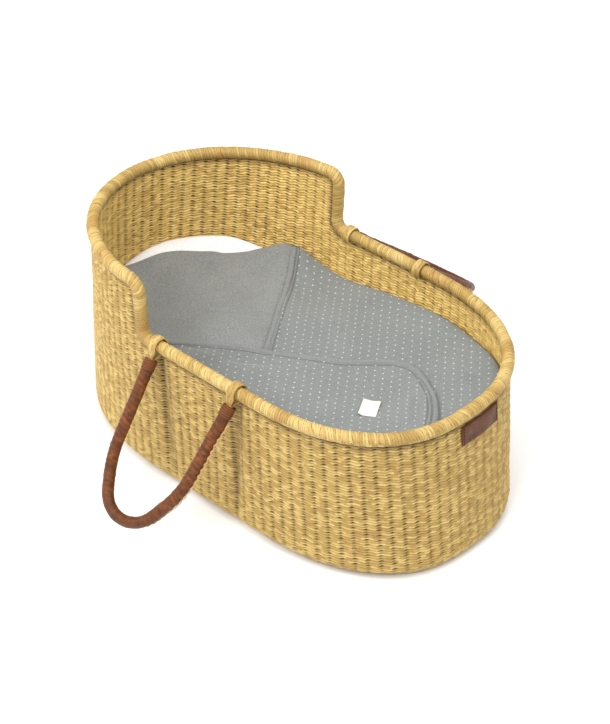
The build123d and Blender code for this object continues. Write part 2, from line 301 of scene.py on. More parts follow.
def grid_object(name, points, material, close_u=False, close_v=False, keep=None, values=None):
    """Mesh object from a grid of points (rows v, columns u), with named values at its points."""
    rows, columns = points.shape[:2]
    index = np.arange(rows * columns).reshape(rows, columns)
    if close_u:
        index = np.hstack([index, index[:, :1]])
    if close_v:
        index = np.vstack([index, index[:1]])
    faces = quads(index)
    if keep is not None:
        faces = faces[keep.reshape(-1)]
    used = np.unique(faces)
    renumber = np.full(rows * columns, -1)
    renumber[used] = np.arange(len(used))
    return mesh_object(
        name, points.reshape(-1, 3)[used], renumber[faces], material,
        {key: value.reshape(rows * columns, -1)[used] for key, value in (values or {}).items()})


def mesh_object(name, points, faces, material, values=None):
    """Smooth-shaded mesh object from arrays of points and same-sided faces."""
    mesh = bpy.data.meshes.new(name)
    sides = faces.shape[1]
    mesh.vertices.add(len(points))
    mesh.vertices.foreach_set("co", points.astype(np.float32).reshape(-1))
    mesh.loops.add(faces.size)
    mesh.loops.foreach_set("vertex_index", faces.astype(np.int32).reshape(-1))
    mesh.polygons.add(len(faces))
    mesh.polygons.foreach_set("loop_start", np.arange(0, faces.size, sides, dtype=np.int32))
    mesh.polygons.foreach_set("loop_total", np.full(len(faces), sides, np.int32))
    mesh.update(calc_edges=True)
    mesh.shade_smooth()
    for key, value in (values or {}).items():
        kind = "FLOAT" if value.shape[1] == 1 else "FLOAT_VECTOR"
        numbers = mesh.attributes.new(key, kind, "POINT").data
        numbers.foreach_set("value" if kind == "FLOAT" else "vector", value.astype(np.float32).reshape(-1))
    return placed(name, mesh, material)


def placed(name, mesh, material):
    """A mesh as an object of the scene, with its material."""
    obj = bpy.data.objects.new(name, mesh)
    bpy.context.scene.collection.objects.link(obj)
    mesh.materials.append(material)
    return obj


def mended(mesh, weld=0.0, fill=False):
    """Welds points that are nearer than weld, closes holes if asked, and turns every face outwards."""
    work = bmesh.new()
    work.from_mesh(mesh)
    if weld:
        bmesh.ops.remove_doubles(work, verts=work.verts, dist=weld)
    if fill:
        bmesh.ops.holes_fill(work, edges=work.edges)
    bmesh.ops.recalc_face_normals(work, faces=work.faces)
    work.to_mesh(mesh)
    work.free()


def normals_of(points):
    """Unit normals of a grid of points (rows v, columns u) whose rows are closed."""
    du = np.roll(points, -1, 1) - np.roll(points, 1, 1)
    dv = np.gradient(points, axis=0)
    normal = np.cross(du, dv)
    return normal / np.maximum(np.linalg.norm(normal, axis=-1, keepdims=True), 1e-12)


def frames_along(line, up):
    """Side and up arrows along a line of points, kept level with the given up."""
    tangent = unit(np.gradient(line, axis=0))
    side = unit(np.cross(tangent, np.broadcast_to(np.asarray(up, float), tangent.shape)))
    return side, np.cross(side, tangent)


def lengths_along(line):
    """Distance along a line of points, from its start."""
    return np.concatenate([[0], np.cumsum(np.linalg.norm(np.diff(line, axis=0), axis=1))])


def resampled(line, count):
    """The same line with evenly spaced points."""
    length = lengths_along(line)
    even = np.linspace(0, length[-1], count)
    return np.stack([np.interp(even, length, line[:, k]) for k in range(3)], 1)


def smooth_noise(shape, cells, seed, wrap=False):
    """Smooth random field from -1 to 1 on a grid, with about that many cells each way."""
    random = np.random.default_rng(seed)
    coarse = random.uniform(-1, 1, (cells[0] + 3, cells[1] + 3))
    if wrap:
        coarse[:, cells[1]:] = coarse[:, :3]
    v = np.linspace(0, cells[0], shape[0])
    u = np.linspace(0, cells[1], shape[1], endpoint=not wrap)

    def along(field, t):
        low = np.floor(t).astype(int)
        share = smooth_step(t - low, 0, 1)
        return field[low] * (1 - share)[:, None] + field[low + 1] * share[:, None]

    return along(along(coarse, v).T, u).T


# ---------------------------------------------------------------- materials


class Finish:
    """A material and short ways to add its nodes."""

    def __init__(self, name, roughness=0.6, **sockets):
        self.material = bpy.data.materials.new(name)
        self.material.use_nodes = True
        self.tree = self.material.node_tree
        self.shader = self.tree.nodes["Principled BSDF"]
        self.shader.inputs["Roughness"].default_value = roughness
        for key, value in sockets.items():
            self.shader.inputs[self.socket_name(key)].default_value = value

    @staticmethod
    def socket_name(key):
        """The shader's own name for an input."""
        return key.replace("_", " ").title().replace("Ior", "IOR")

    def node(self, kind, inputs=None, **settings):
        """A new node, with numbers or sockets for its inputs."""
        made = self.tree.nodes.new("ShaderNode" + kind)
        for key, value in settings.items():
            setattr(made, key, value)
        for key, value in (inputs or {}).items():
            if isinstance(value, bpy.types.NodeSocket):
                self.tree.links.new(value, made.inputs[key])
            else:
                made.inputs[key].default_value = value
        return made

    def value(self, name):
        """A number stored at the mesh's points."""
        return self.node("Attribute", attribute_name=name).outputs["Fac"]

    def arrow(self, name):
        """Three numbers stored at the mesh's points."""
        return self.node("Attribute", attribute_name=name).outputs["Vector"]

    def place(self):
        """Where a point lies, in metres."""
        return self.node("TexCoord").outputs["Object"]

    def stretched(self, vector, scale):
        """A place scaled along each axis."""
        return self.node("Mapping", {"Vector": vector, "Scale": scale}).outputs["Vector"]

    def noise(self, vector, scale, detail=3.0, roughness=0.5):
        """Noise from 0 to 1."""
        return self.node(
            "TexNoise", {"Vector": vector, "Scale": scale, "Detail": detail, "Roughness": roughness}
        ).outputs["Fac"]

    def sums(self, operation, a, b=0.0, clamp=False):
        """The result of one sum."""
        return self.node("Math", {0: a, 1: b}, operation=operation, use_clamp=clamp).outputs[0]

    def ramp(self, value, low, high, start=0.0, end=1.0):
        """A number carried from low..high to start..end, and held there."""
        return self.node(
            "MapRange", {"Value": value, "From Min": low, "From Max": high, "To Min": start, "To Max": end}
        ).outputs["Result"]

    def mix(self, share, a, b, blend="MIX"):
        """Colour a with a share of colour b."""
        made = self.node("Mix", data_type="RGBA", blend_type=blend, clamp_factor=True)
        for socket, value in ((made.inputs["Factor"], share), (made.inputs[6], a), (made.inputs[7], b)):
            if isinstance(value, bpy.types.NodeSocket):
                self.tree.links.new(value, socket)
            else:
                socket.default_value = (*value, 1.0) if hasattr(value, "__len__") else value
        return made.outputs[2]

    def bump(self, height, distance, strength):
        """Normal of a surface with fine relief."""
        inputs = {"Height": height, "Distance": distance, "Strength": strength}
        return self.node("Bump", inputs).outputs["Normal"]

    def wire(self, **outputs):
        """Links sockets to the shader's inputs."""
        for key, value in outputs.items():
            self.tree.links.new(value, self.shader.inputs[self.socket_name(key)])
        return self.material


STRAND_SHADE = 0.84
WEAVE_FIBRE = (260.0, 1400.0, 1.0)


def grass_finish(name, colours, light=None, main=None, fibre=WEAVE_FIBRE):
    """Dry grass: strand to strand tones, fibres along the strand, painted shade in the gaps and bleached
    patches.

    light and main are the palest and the usual strand, where they differ from the settings.
    """
    light, main = light or tuple(colours.grass_light), main or tuple(colours.grass)
    tan, gap = colours.grass_tan, colours.gap
    f = Finish(name, roughness=0.52, specular_ior_level=0.35)
    strand = f.arrow("strand")
    tone = f.value("tone")
    fibres = f.noise(f.stretched(strand, fibre), 1.0, 4.0, 0.6)
    patches = f.noise(f.place(), 9.0, 3.0, 0.55)
    colour = f.mix(f.ramp(tone, 0.12, 0.55), toned(main, STRAND_SHADE), main)
    colour = f.mix(f.ramp(tone, 0.50, 0.95), colour, light)
    colour = f.mix(f.ramp(tone, 0.10, 0.0, 0.0, 0.6), colour, tan)
    colour = f.mix(f.ramp(patches, 0.62, 0.78, 0.0, 0.30), colour, tan)
    colour = f.mix(f.ramp(patches, 0.42, 0.25, 0.0, 0.35), colour, light)
    streak = f.ramp(fibres, 0.30, 0.70, 0.72, 1.14)
    grey = f.node("CombineColor", {"Red": streak, "Green": streak, "Blue": streak}).outputs["Color"]
    colour = f.mix(1.0, colour, grey, "MULTIPLY")
    # Painted shade: the shade value mixes in the gap colour
    colour = f.mix(f.value("shade"), colour, gap)
    rough = f.ramp(fibres, 0.2, 0.8, 0.42, 0.66)
    return f.wire(base_color=colour, roughness=rough, normal=f.bump(fibres, 0.0006, 0.6))


# --------------------------------------------------------------- woven pieces


# Rows and stakes for which each strand and each gap gets a tone, height and depth of its own
TABLE_ROWS, TABLE_STAKES = 128, 160
SLANT = 0.34
STRAND_WAVER = 0.10
HOLE_HALF_WIDTH, HOLE_HALF_HEIGHT = 0.14, 0.27


def twined(stake_turn, row_turn, seed):
    """Height of a twined weave, and its shade, tone and strand place, at points given in stakes and rows.

    Height runs from 0 in the gaps to 1 on the back of a strand where it crosses a stake.
    """
    random = np.random.default_rng(seed)
    rows_wide, stakes_wide = TABLE_ROWS, TABLE_STAKES
    stake = np.floor(stake_turn).astype(int) % stakes_wide
    a = from_middle(stake_turn)
    wavy = STRAND_WAVER * smooth_noise(stake_turn.shape, (10, 24), seed + 1, wrap=True)
    leaning = row_turn + SLANT * np.sin(2 * math.pi * a) / 2 + wavy
    row = np.clip(np.floor(leaning).astype(int), 0, rows_wide - 1)
    b = from_middle(leaning)
    blade = np.floor(2.0 * stake_turn + 0.37 * row).astype(int) % (2 * stakes_wide)
    tone = random.uniform(0, 1, (rows_wide, 2 * stakes_wide))[row, blade]
    lift = random.uniform(0.82, 1.08, (rows_wide, stakes_wide))[row, stake]
    thick = random.uniform(0.86, 1.0, (rows_wide, stakes_wide))[row, stake]
    across = rounded_back(b / thick, 2.2, 0.5)
    along = np.cos(math.pi * np.clip(a, -0.5, 0.5)) ** 0.6
    split = 1 - 0.16 * bell(b - 0.35 * a, 0.07)
    height = across * (0.66 + 0.34 * along) * lift * split
    hole = bell(np.abs(a) - 0.5, HOLE_HALF_WIDTH) * bell(np.abs(b) - 0.5, HOLE_HALF_HEIGHT)
    gap = np.floor(stake_turn + 0.5).astype(int) % stakes_wide
    between = np.floor(leaning + 0.5).astype(int) % rows_wide
    open_gap = (between + random.integers(0, 2, stakes_wide)[gap]) % 2 == 0
    size = random.uniform(0, 1, (rows_wide, stakes_wide))[between, gap]
    depth = np.where(open_gap, 0.85 + 0.6 * size, 0.15 + 0.45 * size)
    # Painted shade: dark in the holes beside the stakes and in the grooves between the rows
    groove = np.clip((np.abs(b) - 0.2) / 0.3, 0, 1)
    shade = np.clip(1.35 * hole * depth + 0.48 * groove, 0, 0.97)
    place = np.stack([stake_turn, row_turn, np.zeros_like(a)], -1)
    return height - hole * depth, {"shade": shade, "tone": tone, "strand": place}


class Wall:
    """One face of the woven wall: a grid that starts in the base and runs up to the rim."""

    PER_STAKE, PER_ROW = 8, 4
    LEAD = 0.012
    MEAN_HEIGHT, SWAY = 0.75, 0.0012
    FOLD_WIDTH, FOLD_ASIDE = 0.0095, 0.006
    FOLD_FOOT, FOLD_TOP = 0.08, 0.02
    FOLD_LEAN = {"head": 0.05, "foot": -0.07}
    FOLD_SHADE, BACK_FOLD = 0.36, 0.4
    RIM_SHADE, RIM_SHADE_STEPS, RIM_SHADE_DEPTH = 0.62, 7, 0.0016
    TOP_UNDER_RIM, TUCKED_IN = 0.002, 0.001

    def __init__(self, form, weave, grow, corner, floor, facing, seed):
        s = form.s
        self.form, self.weave, self.seed, self.facing = form, weave, seed, facing
        bend = corner * math.pi / 2
        rise = s.head_level - floor - corner
        rows = math.ceil((self.LEAD + bend + rise) / weave.row)
        run = np.arange(rows * self.PER_ROW + 1) * weave.row / self.PER_ROW
        turn = np.clip((run - self.LEAD) / corner, 0, math.pi / 2)
        inset = corner * (1 - np.sin(turn)) + np.clip(self.LEAD - run, 0, None)
        level = floor + corner * (1 - np.cos(turn)) + np.clip(run - self.LEAD - bend, 0, None)
        self.u = np.arange(weave.stakes * self.PER_STAKE) / (weave.stakes * self.PER_STAKE)
        level = np.repeat(level[:, None], len(self.u), 1)
        grown = np.repeat((grow - inset)[:, None], len(self.u), 1)
        x, y = form.at(self.u[None, :], level, grown)
        shared = np.clip(level / s.rim_level, 0, 1)
        foot = x > s.head_bend + s.step_radius
        level = level - np.where(foot, form.drop(x) * shared, 0)
        self.points = np.stack([x, y, level], -1)

    def folds(self, points):
        """Strength of the upright folds in the side walls where the handles pull on the rim."""
        x, y, z = np.moveaxis(points, -1, 0)
        depth = np.zeros(x.shape)
        below = self.form.s.rim_level - z
        fade = np.clip(z / self.FOLD_FOOT, 0, 1) * np.clip(below / self.FOLD_TOP, 0, 1)
        width = self.FOLD_WIDTH * (1 + 0.4 * np.clip(below / self.form.s.rim_level, 0, 1))
        for side, name in ((-1, "front"), (1, "back")):
            for end, lean in self.FOLD_LEAN.items():
                low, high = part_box(f"{name}_{end}_loop")
                middle = (low.x + high.x) / 2 + self.FOLD_ASIDE + lean * below
                share = self.BACK_FOLD if name == "back" else 1.0
                depth += np.where(y * side > 0, share * bell(x - middle, width) * fade, 0)
        return depth

    def build(self, name, material):
        """The face as an object, with its folds, its weave and its shaded places."""
        points, under_rim = self.points, self.form.s.rim_radius - self.TUCKED_IN
        normal = normals_of(points)
        folds = self.folds(points)
        points = points - normal * (self.weave.crease * folds)[..., None]
        normal = normals_of(points) * self.facing
        stake_turn = np.broadcast_to(self.u[None, :] * self.weave.stakes, points.shape[:2])
        row_turn = np.broadcast_to((np.arange(points.shape[0]) / self.PER_ROW)[:, None], points.shape[:2])
        height, values = twined(stake_turn, row_turn, self.seed)
        sway = self.SWAY * smooth_noise(points.shape[:2], (7, 24), self.seed + 5, wrap=True)
        stand = self.weave.relief * (height - self.MEAN_HEIGHT) + sway
        points = points + normal * stand[..., None]
        points[..., 2] = np.maximum(points[..., 2], 0)
        # Painted shadow under the rim: the wall darkens in steps towards the rim's underside
        tucked = sum(
            self.form.above_rim(points[..., 0], points[..., 2], under_rim + step * self.RIM_SHADE_DEPTH)
            for step in range(self.RIM_SHADE_STEPS)) / self.RIM_SHADE_STEPS
        shade = values["shade"] + self.RIM_SHADE * tucked
        # Painted shade in the folds of the outside face
        if self.facing > 0:
            shade = shade + self.FOLD_SHADE * folds
        values["shade"] = np.clip(shade, 0, 1)
        middle = (points[:-1] + np.roll(points, -1, 1)[1:]) / 2
        keep = ~self.form.above_rim(middle[..., 0], middle[..., 2], self.TOP_UNDER_RIM)
        return grid_object(name, points, material, close_u=True, keep=keep, values=values)


class Weaving(bpy.types.Operator):
    """Makes the twined wall, outside and inside, from the base's edge up to the rim"""

    bl_idname = "basket.weave_wall"
    bl_label = "Woven wall"

    # Gains for the inside face's grass colours: painted light on the inside of the wall
    LINING_LIGHT, LINING_MAIN = 1.32, 1.45

    def execute(self, context):
        shape, weave, colours = settings_of(context)
        form = Form(shape)
        finish = grass_finish("twined grass", colours)
        # The inside face gets a lighter copy of the grass: painted light
        painted_lit_inside = grass_finish(
            "inner twined grass painted lighter", colours,
            toned(colours.grass_light, self.LINING_LIGHT), toned(colours.grass, self.LINING_MAIN))
        half = shape.wall / 2
        outside = Wall(form, weave, half, shape.corner, 0.0, 1, 11).build("woven_wall_outside", finish)
        inside = Wall(
            form, weave, -half, shape.corner - shape.wall, shape.wall, -1, 29
        ).build("woven_wall_inside", painted_lit_inside)
        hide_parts("wall_weave")
        for piece in (outside, inside):
            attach(piece, "basket")
        return {"FINISHED"}


class BaseWeaving(bpy.types.Operator):
    """Makes the woven base, whose rows run round and round to the middle"""

    bl_idname = "basket.weave_base"
    bl_label = "Woven base"

    INNER_SHARE = 0.03
    PLAY = 0.002
    PER_STAKE, PER_ROW = 6, 4

    def execute(self, context):
        shape, weave, colours = settings_of(context)
        form = Form(shape)
        finish = grass_finish("base grass", colours)
        low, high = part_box("base_weave")
        reach = shape.base_half_width - shape.corner - self.PLAY
        rows = int(reach * (1 - self.INNER_SHARE) / weave.row)
        share = np.linspace(self.INNER_SHARE, 1, rows * self.PER_ROW + 1)[:, None]
        u = (np.arange(weave.stakes * self.PER_STAKE) / (weave.stakes * self.PER_STAKE))[None, :]
        edge_x, edge_y = form.at(u, 0.0, -shape.corner)
        ridge = shape.base_half_length - shape.base_half_width
        along = np.clip(edge_x, -ridge, ridge)
        x = along + (edge_x - along) * share
        stake_turn = np.broadcast_to(u * weave.stakes, x.shape)
        row_turn = np.broadcast_to(share * rows, x.shape)
        sides = []
        for level, facing, seed in ((low.z, -1, 41), (high.z, 1, 43)):
            height, values = twined(stake_turn, row_turn, seed)
            level = np.full(x.shape, level) + facing * 0.5 * weave.relief * (height - 1.0)
            sides.append({"points": np.stack([x, edge_y * share, level], -1), **values})
        under, upper = sides
        values = {key: np.concatenate([under[key], upper[key][::-1]])[:, ::-1] for key in under}
        base = grid_object(
            "woven_base", values.pop("points"), finish, close_u=True, close_v=True, values=values)
        settle(base, "base_weave", "grass_weave")
        return {"FINISHED"}


# ----------------------------------------------------------------------- rim


# The round foot end of the rim's middle line stands out by FOOT_EASE and is RIM_HALF_SPAN to each side
FOOT_EASE, RIM_HALF_SPAN = 0.0018, 0.2405


def rim_line(form, step):
    """Middle line of the rim, closed, as evenly spaced points."""
    s = form.s
    radius = s.step_radius
    quarter = np.linspace(0, math.pi / 2, 16)

    def across(x, z):
        half_length, half_width = form.sizes(z)
        head = x < 0
        bend = np.where(head, s.head_bend, s.foot_bend)
        power = np.where(head, form.HEAD_POWER, form.FOOT_POWER)
        past = np.clip((np.abs(x) - np.abs(bend)) / (half_length - np.abs(bend)), 0, 1)
        return half_width * (1 - past**power) ** (1 / power)

    half_length = form.sizes(s.head_level)[0]
    reach = half_length + s.head_bend
    last = math.acos(radius / reach)
    head_x = s.head_bend - reach * np.cos(np.linspace(0, last, 90))
    top_x = s.head_bend - radius + radius * np.sin(quarter)
    low_x = s.head_bend + radius - radius * np.cos(quarter)
    foot_angle = np.linspace(math.pi / 2, 0, 160)
    straight_x = np.linspace(s.head_bend + radius, s.foot_bend, 40)
    foot_reach = s.rim_half_length + FOOT_EASE - s.foot_bend
    foot_x = s.foot_bend + foot_reach * np.cos(foot_angle) ** (2 / form.FOOT_POWER)
    x = np.concatenate([head_x, top_x, low_x, straight_x, foot_x])
    z = np.concatenate([
        np.full(head_x.shape, s.head_level),
        s.head_level - radius + radius * np.cos(quarter),
        s.rim_level + radius - radius * np.sin(quarter),
        s.rim_level - form.drop(straight_x),
        s.rim_level - form.drop(foot_x),
    ])
    y = across(x, z)
    y[x > s.foot_bend] = RIM_HALF_SPAN * np.sin(foot_angle) ** (2 / form.FOOT_POWER)
    y[0] = y[-1] = 0
    half = np.stack([x, y, z], 1)
    whole = np.concatenate([half, half[-2:0:-1] * (1, -1, 1), half[:1]])
    count = int(lengths_along(whole)[-1] / step)
    return resampled(whole, count + 1)[:-1]


def closed_frames(line):
    """Arrows across a closed line: one away from the basket's middle axis, and one square to it."""
    tangent = unit(np.roll(line, -1, 0) - np.roll(line, 1, 0))
    outward = unit(line * (1, 1, 0))
    outward = unit(outward - tangent * np.sum(outward * tangent, 1, keepdims=True))
    return outward, np.cross(tangent, outward)


class RimWinding(bpy.types.Operator):
    """Winds the rim with flat grass strips"""

    bl_idname = "basket.wind_rim"
    bl_label = "Wound rim"

    AROUND = 24
    PER_STRIP = 5
    STARTS = 3
    FIBRE = (3.0, 22.0, 1.0)
    SUNK, RIDGE, UNEVEN = 0.0021, 0.0014, 0.0004

    def execute(self, context):
        shape, weave, colours = settings_of(context)
        form = Form(shape)
        finish = grass_finish(
            "wound grass", colours, tuple(colours.rim_light), tuple(colours.rim), self.FIBRE)
        line = rim_line(form, weave.strip / self.PER_STRIP)
        count = len(line)
        outward, upward = closed_frames(line)
        angle = whole_turn(self.AROUND)
        run = np.arange(count)[None, :] / self.PER_STRIP
        turn = angle[:, None] / (2 * math.pi)
        wander = 0.9 * smooth_noise((self.AROUND, count), (2, 260), 61, wrap=True)
        strips = count // self.PER_STRIP
        phase = run * strips * self.PER_STRIP / count - self.STARTS * turn + wander + 4
        strip = np.floor(phase).astype(int) % strips
        b = from_middle(phase)
        random = np.random.default_rng(67)
        clump = smooth_noise((1, strips), (1, 60), 71, wrap=True)[0]
        tones = np.clip(0.55 + 0.34 * random.uniform(-1, 1, strips) + 0.42 * clump, 0, 1)
        ridge = rounded_back(b, 2.4, 0.6)
        lift = random.uniform(0.4, 1.0, strips)[strip]
        radius = shape.rim_radius - self.SUNK + self.RIDGE * ridge * lift
        radius = radius + self.UNEVEN * smooth_noise((self.AROUND, count), (3, 90), 73, wrap=True)
        points = line[None] + radius[..., None] * (
            np.cos(angle)[:, None, None] * outward[None] + np.sin(angle)[:, None, None] * upward[None])
        strand = np.stack([turn * 8 + strip * 3.7, b + strip * 1.3, np.zeros_like(b)], -1)
        # Painted shade in the grooves between the strips
        values = {"shade": np.clip(1.1 * (1 - ridge) ** 2, 0, 1), "tone": tones[strip], "strand": strand}
        rim = grid_object("wound_rim", points, finish, close_u=True, close_v=True, values=values)
        settle(rim, "rim_wrap", "grass_rim")
        return {"FINISHED"}


# ------------------------------------------------------------------- handles


class HandleForm:
    """Middle line of one hanging handle, which lies in a plane through its hinge line.

    Each form holds the handle's side of the basket, the angle it hangs below level, in degrees, the radii of
    its four bends and its corners, in millimetres along the basket and away from the hinge line.
    """

    FORMS = {
        "front": (-1, 53.0, (190, 52, 70, 150),
                  ((-92.5, 0.0), (-85.0, 203.0), (-49.0, 284.0), (26.0, 284.0), (79.0, 192.0), (93.5, 0.0))),
        "back": (1, 37.3, (150, 56, 54, 150),
                 ((-84.0, 0.0), (-79.0, 195.0), (-43.0, 283.0), (30.0, 283.0), (70.0, 198.0), (84.0, 0.0))),
    }
    LEATHER_START = 0.026
    LEATHER_RADIUS = 0.011
    ARC_STEPS = 14

    def __init__(self, name):
        side, hang, radii, corners = self.FORMS[name]
        self.radii = np.array(radii) / 1000
        self.corners = np.array(corners) / 1000
        self.hinge = np.array(HINGES[name + "_handle"]["pos_m"], float)
        angle = math.radians(hang)
        self.out = np.array([0, side * math.cos(angle), -math.sin(angle)])
        self.under = np.array([0, -side * math.sin(angle), -math.cos(angle)])

    def put(self, x, away, under=0.0):
        """Points in space from places along the basket, away from the hinge line and under the plane."""
        x, away, under = (np.asarray(value, float)[..., None] for value in (x, away, under))
        return self.hinge + x * (1.0, 0.0, 0.0) + away * self.out + under * self.under

    def line(self, start, step):
        """Evenly spaced points of the middle line: straight runs joined by arcs."""
        corners = self.corners.copy()
        corners[0, 1] = corners[-1, 1] = start
        points = [corners[0]]
        for k, radius in enumerate(self.radii, 1):
            back, on = corners[k - 1] - corners[k], corners[k + 1] - corners[k]
            back, on = unit(back), unit(on)
            half = math.acos(np.clip(-back @ on, -1, 1)) / 2
            middle = unit(back + on)
            centre = corners[k] + middle * radius / math.cos(half)
            first, last = (corners[k] + arm * radius * math.tan(half) - centre for arm in (back, on))
            for share in np.linspace(0, 1, self.ARC_STEPS):
                spoke = first * (1 - share) + last * share
                points.append(centre + unit(spoke) * radius)
        points.append(corners[-1])
        flat = np.column_stack([np.array(points), np.zeros(len(points))])
        flat = resampled(flat, int(lengths_along(flat)[-1] / step))
        return self.put(flat[:, 0], flat[:, 1])

    def outward(self, line):
        """Arrows in the handle's plane, across the line and away from the opening."""
        side = np.cross(unit(np.gradient(line, axis=0)), self.under)
        return side * np.sign(np.sum(side * (line - line.mean(0)), 1).sum())


def tube_part(line, radius, across, under, values=None):
    """A capped bar round a line, as (points, faces, values).

    radius holds one row for each step round the bar, from its outer side towards its underside.
    """
    around = radius.shape[0]
    angle = whole_turn(around)[:, None, None]
    points = line + radius[..., None] * (np.cos(angle) * across + np.sin(angle) * under)
    count = len(line)
    index = np.arange(count * around).reshape(count, around)
    sides = quads(np.hstack([index, index[:, :1]]))
    faces = [*sides.tolist(), index[0].tolist(), index[-1][::-1].tolist()]
    flat = {key: value.T.reshape(-1, 1) for key, value in (values or {}).items()}
    return points.transpose(1, 0, 2).reshape(-1, 3), faces, flat


def slab_part(front, back, values=None):
    """Closed slab between two grids of points, as (points, faces, values)."""
    rows, columns = front.shape[:2]
    index = np.arange(rows * columns).reshape(rows, columns)
    rim = np.concatenate([index[0, :-1], index[:-1, -1], index[-1, :0:-1], index[:0:-1, 0]])
    top = quads(index)
    ahead, under = np.roll(rim, -1), index.size
    faces = [*top.tolist(), *(top[:, ::-1] + under).tolist(),
             *np.stack([rim, rim + under, ahead + under, ahead], -1).tolist()]
    points = np.concatenate([front.reshape(-1, 3), back.reshape(-1, 3)])
    flat = {key: np.tile(value.reshape(-1, 1), (2, 1)) for key, value in (values or {}).items()}
    return points, faces, flat


def solid_object(name, parts, material):
    """Smooth mesh object from closed pieces whose faces may have any number of sides."""
    start, points, faces, values = 0, [], [], {}
    for part_points, part_faces, part_values in parts:
        points.append(part_points)
        faces.extend([[index + start for index in face] for face in part_faces])
        start += len(part_points)
        for key, value in part_values.items():
            values.setdefault(key, []).append(value)
    mesh = bpy.data.meshes.new(name)
    mesh.from_pydata(np.concatenate(points).tolist(), [], faces)
    for key, value in values.items():
        layer = mesh.attributes.new(key, "FLOAT", "POINT")
        layer.data.foreach_set("value", np.concatenate(value).astype(np.float32).reshape(-1))
    mended(mesh)
    mesh.shade_smooth()
    return placed(name, mesh, material)


def leather_finish(name, colour):
    """Waxed brown leather: fine grain, painted shade in the hollows, and raised parts made lighter by rubbed
    wear and painted highlight.
    """
    f = Finish(name, roughness=0.5, specular_ior_level=0.26)
    place = f.place()
    grain = f.node("TexVoronoi", {"Vector": place, "Scale": 900.0}).outputs["Distance"]
    blotch = f.noise(place, 60.0, 4.0, 0.6)
    fine = f.noise(place, 420.0, 3.0, 0.6)
    # Colour of the rubbed wear and the painted highlight
    light = tuple(min(1.0, c) for c in toned(colour, 1.9))
    tint = f.mix(f.ramp(blotch, 0.3, 0.7), toned(colour, 0.45), tuple(colour))
    tint = f.mix(f.sums("MULTIPLY", f.value("rub_and_highlight"), f.ramp(fine, 0.3, 0.7, 0.5, 1.0)), tint, light)
    # Painted shade in the hollows
    tint = f.mix(f.value("shade"), tint, toned(colour, 0.25))
    rough = f.ramp(fine, 0.25, 0.75, 0.32, 0.52)
    height = f.sums("ADD", f.sums("MULTIPLY", grain, 0.6), fine)
    return f.wire(base_color=tint, roughness=rough, normal=f.bump(height, 0.0007, 0.7))


def thread_finish(name, colour):
    """Twisted waxed thread."""
    f = Finish(name, roughness=0.7)
    twist = f.noise(f.stretched(f.place(), (700.0, 700.0, 2200.0)), 1.0, 2.0)
    tint = f.mix(f.ramp(twist, 0.35, 0.65), toned(colour, 0.6), tuple(colour))
    return f.wire(base_color=tint, normal=f.bump(twist, 0.0004, 0.8))


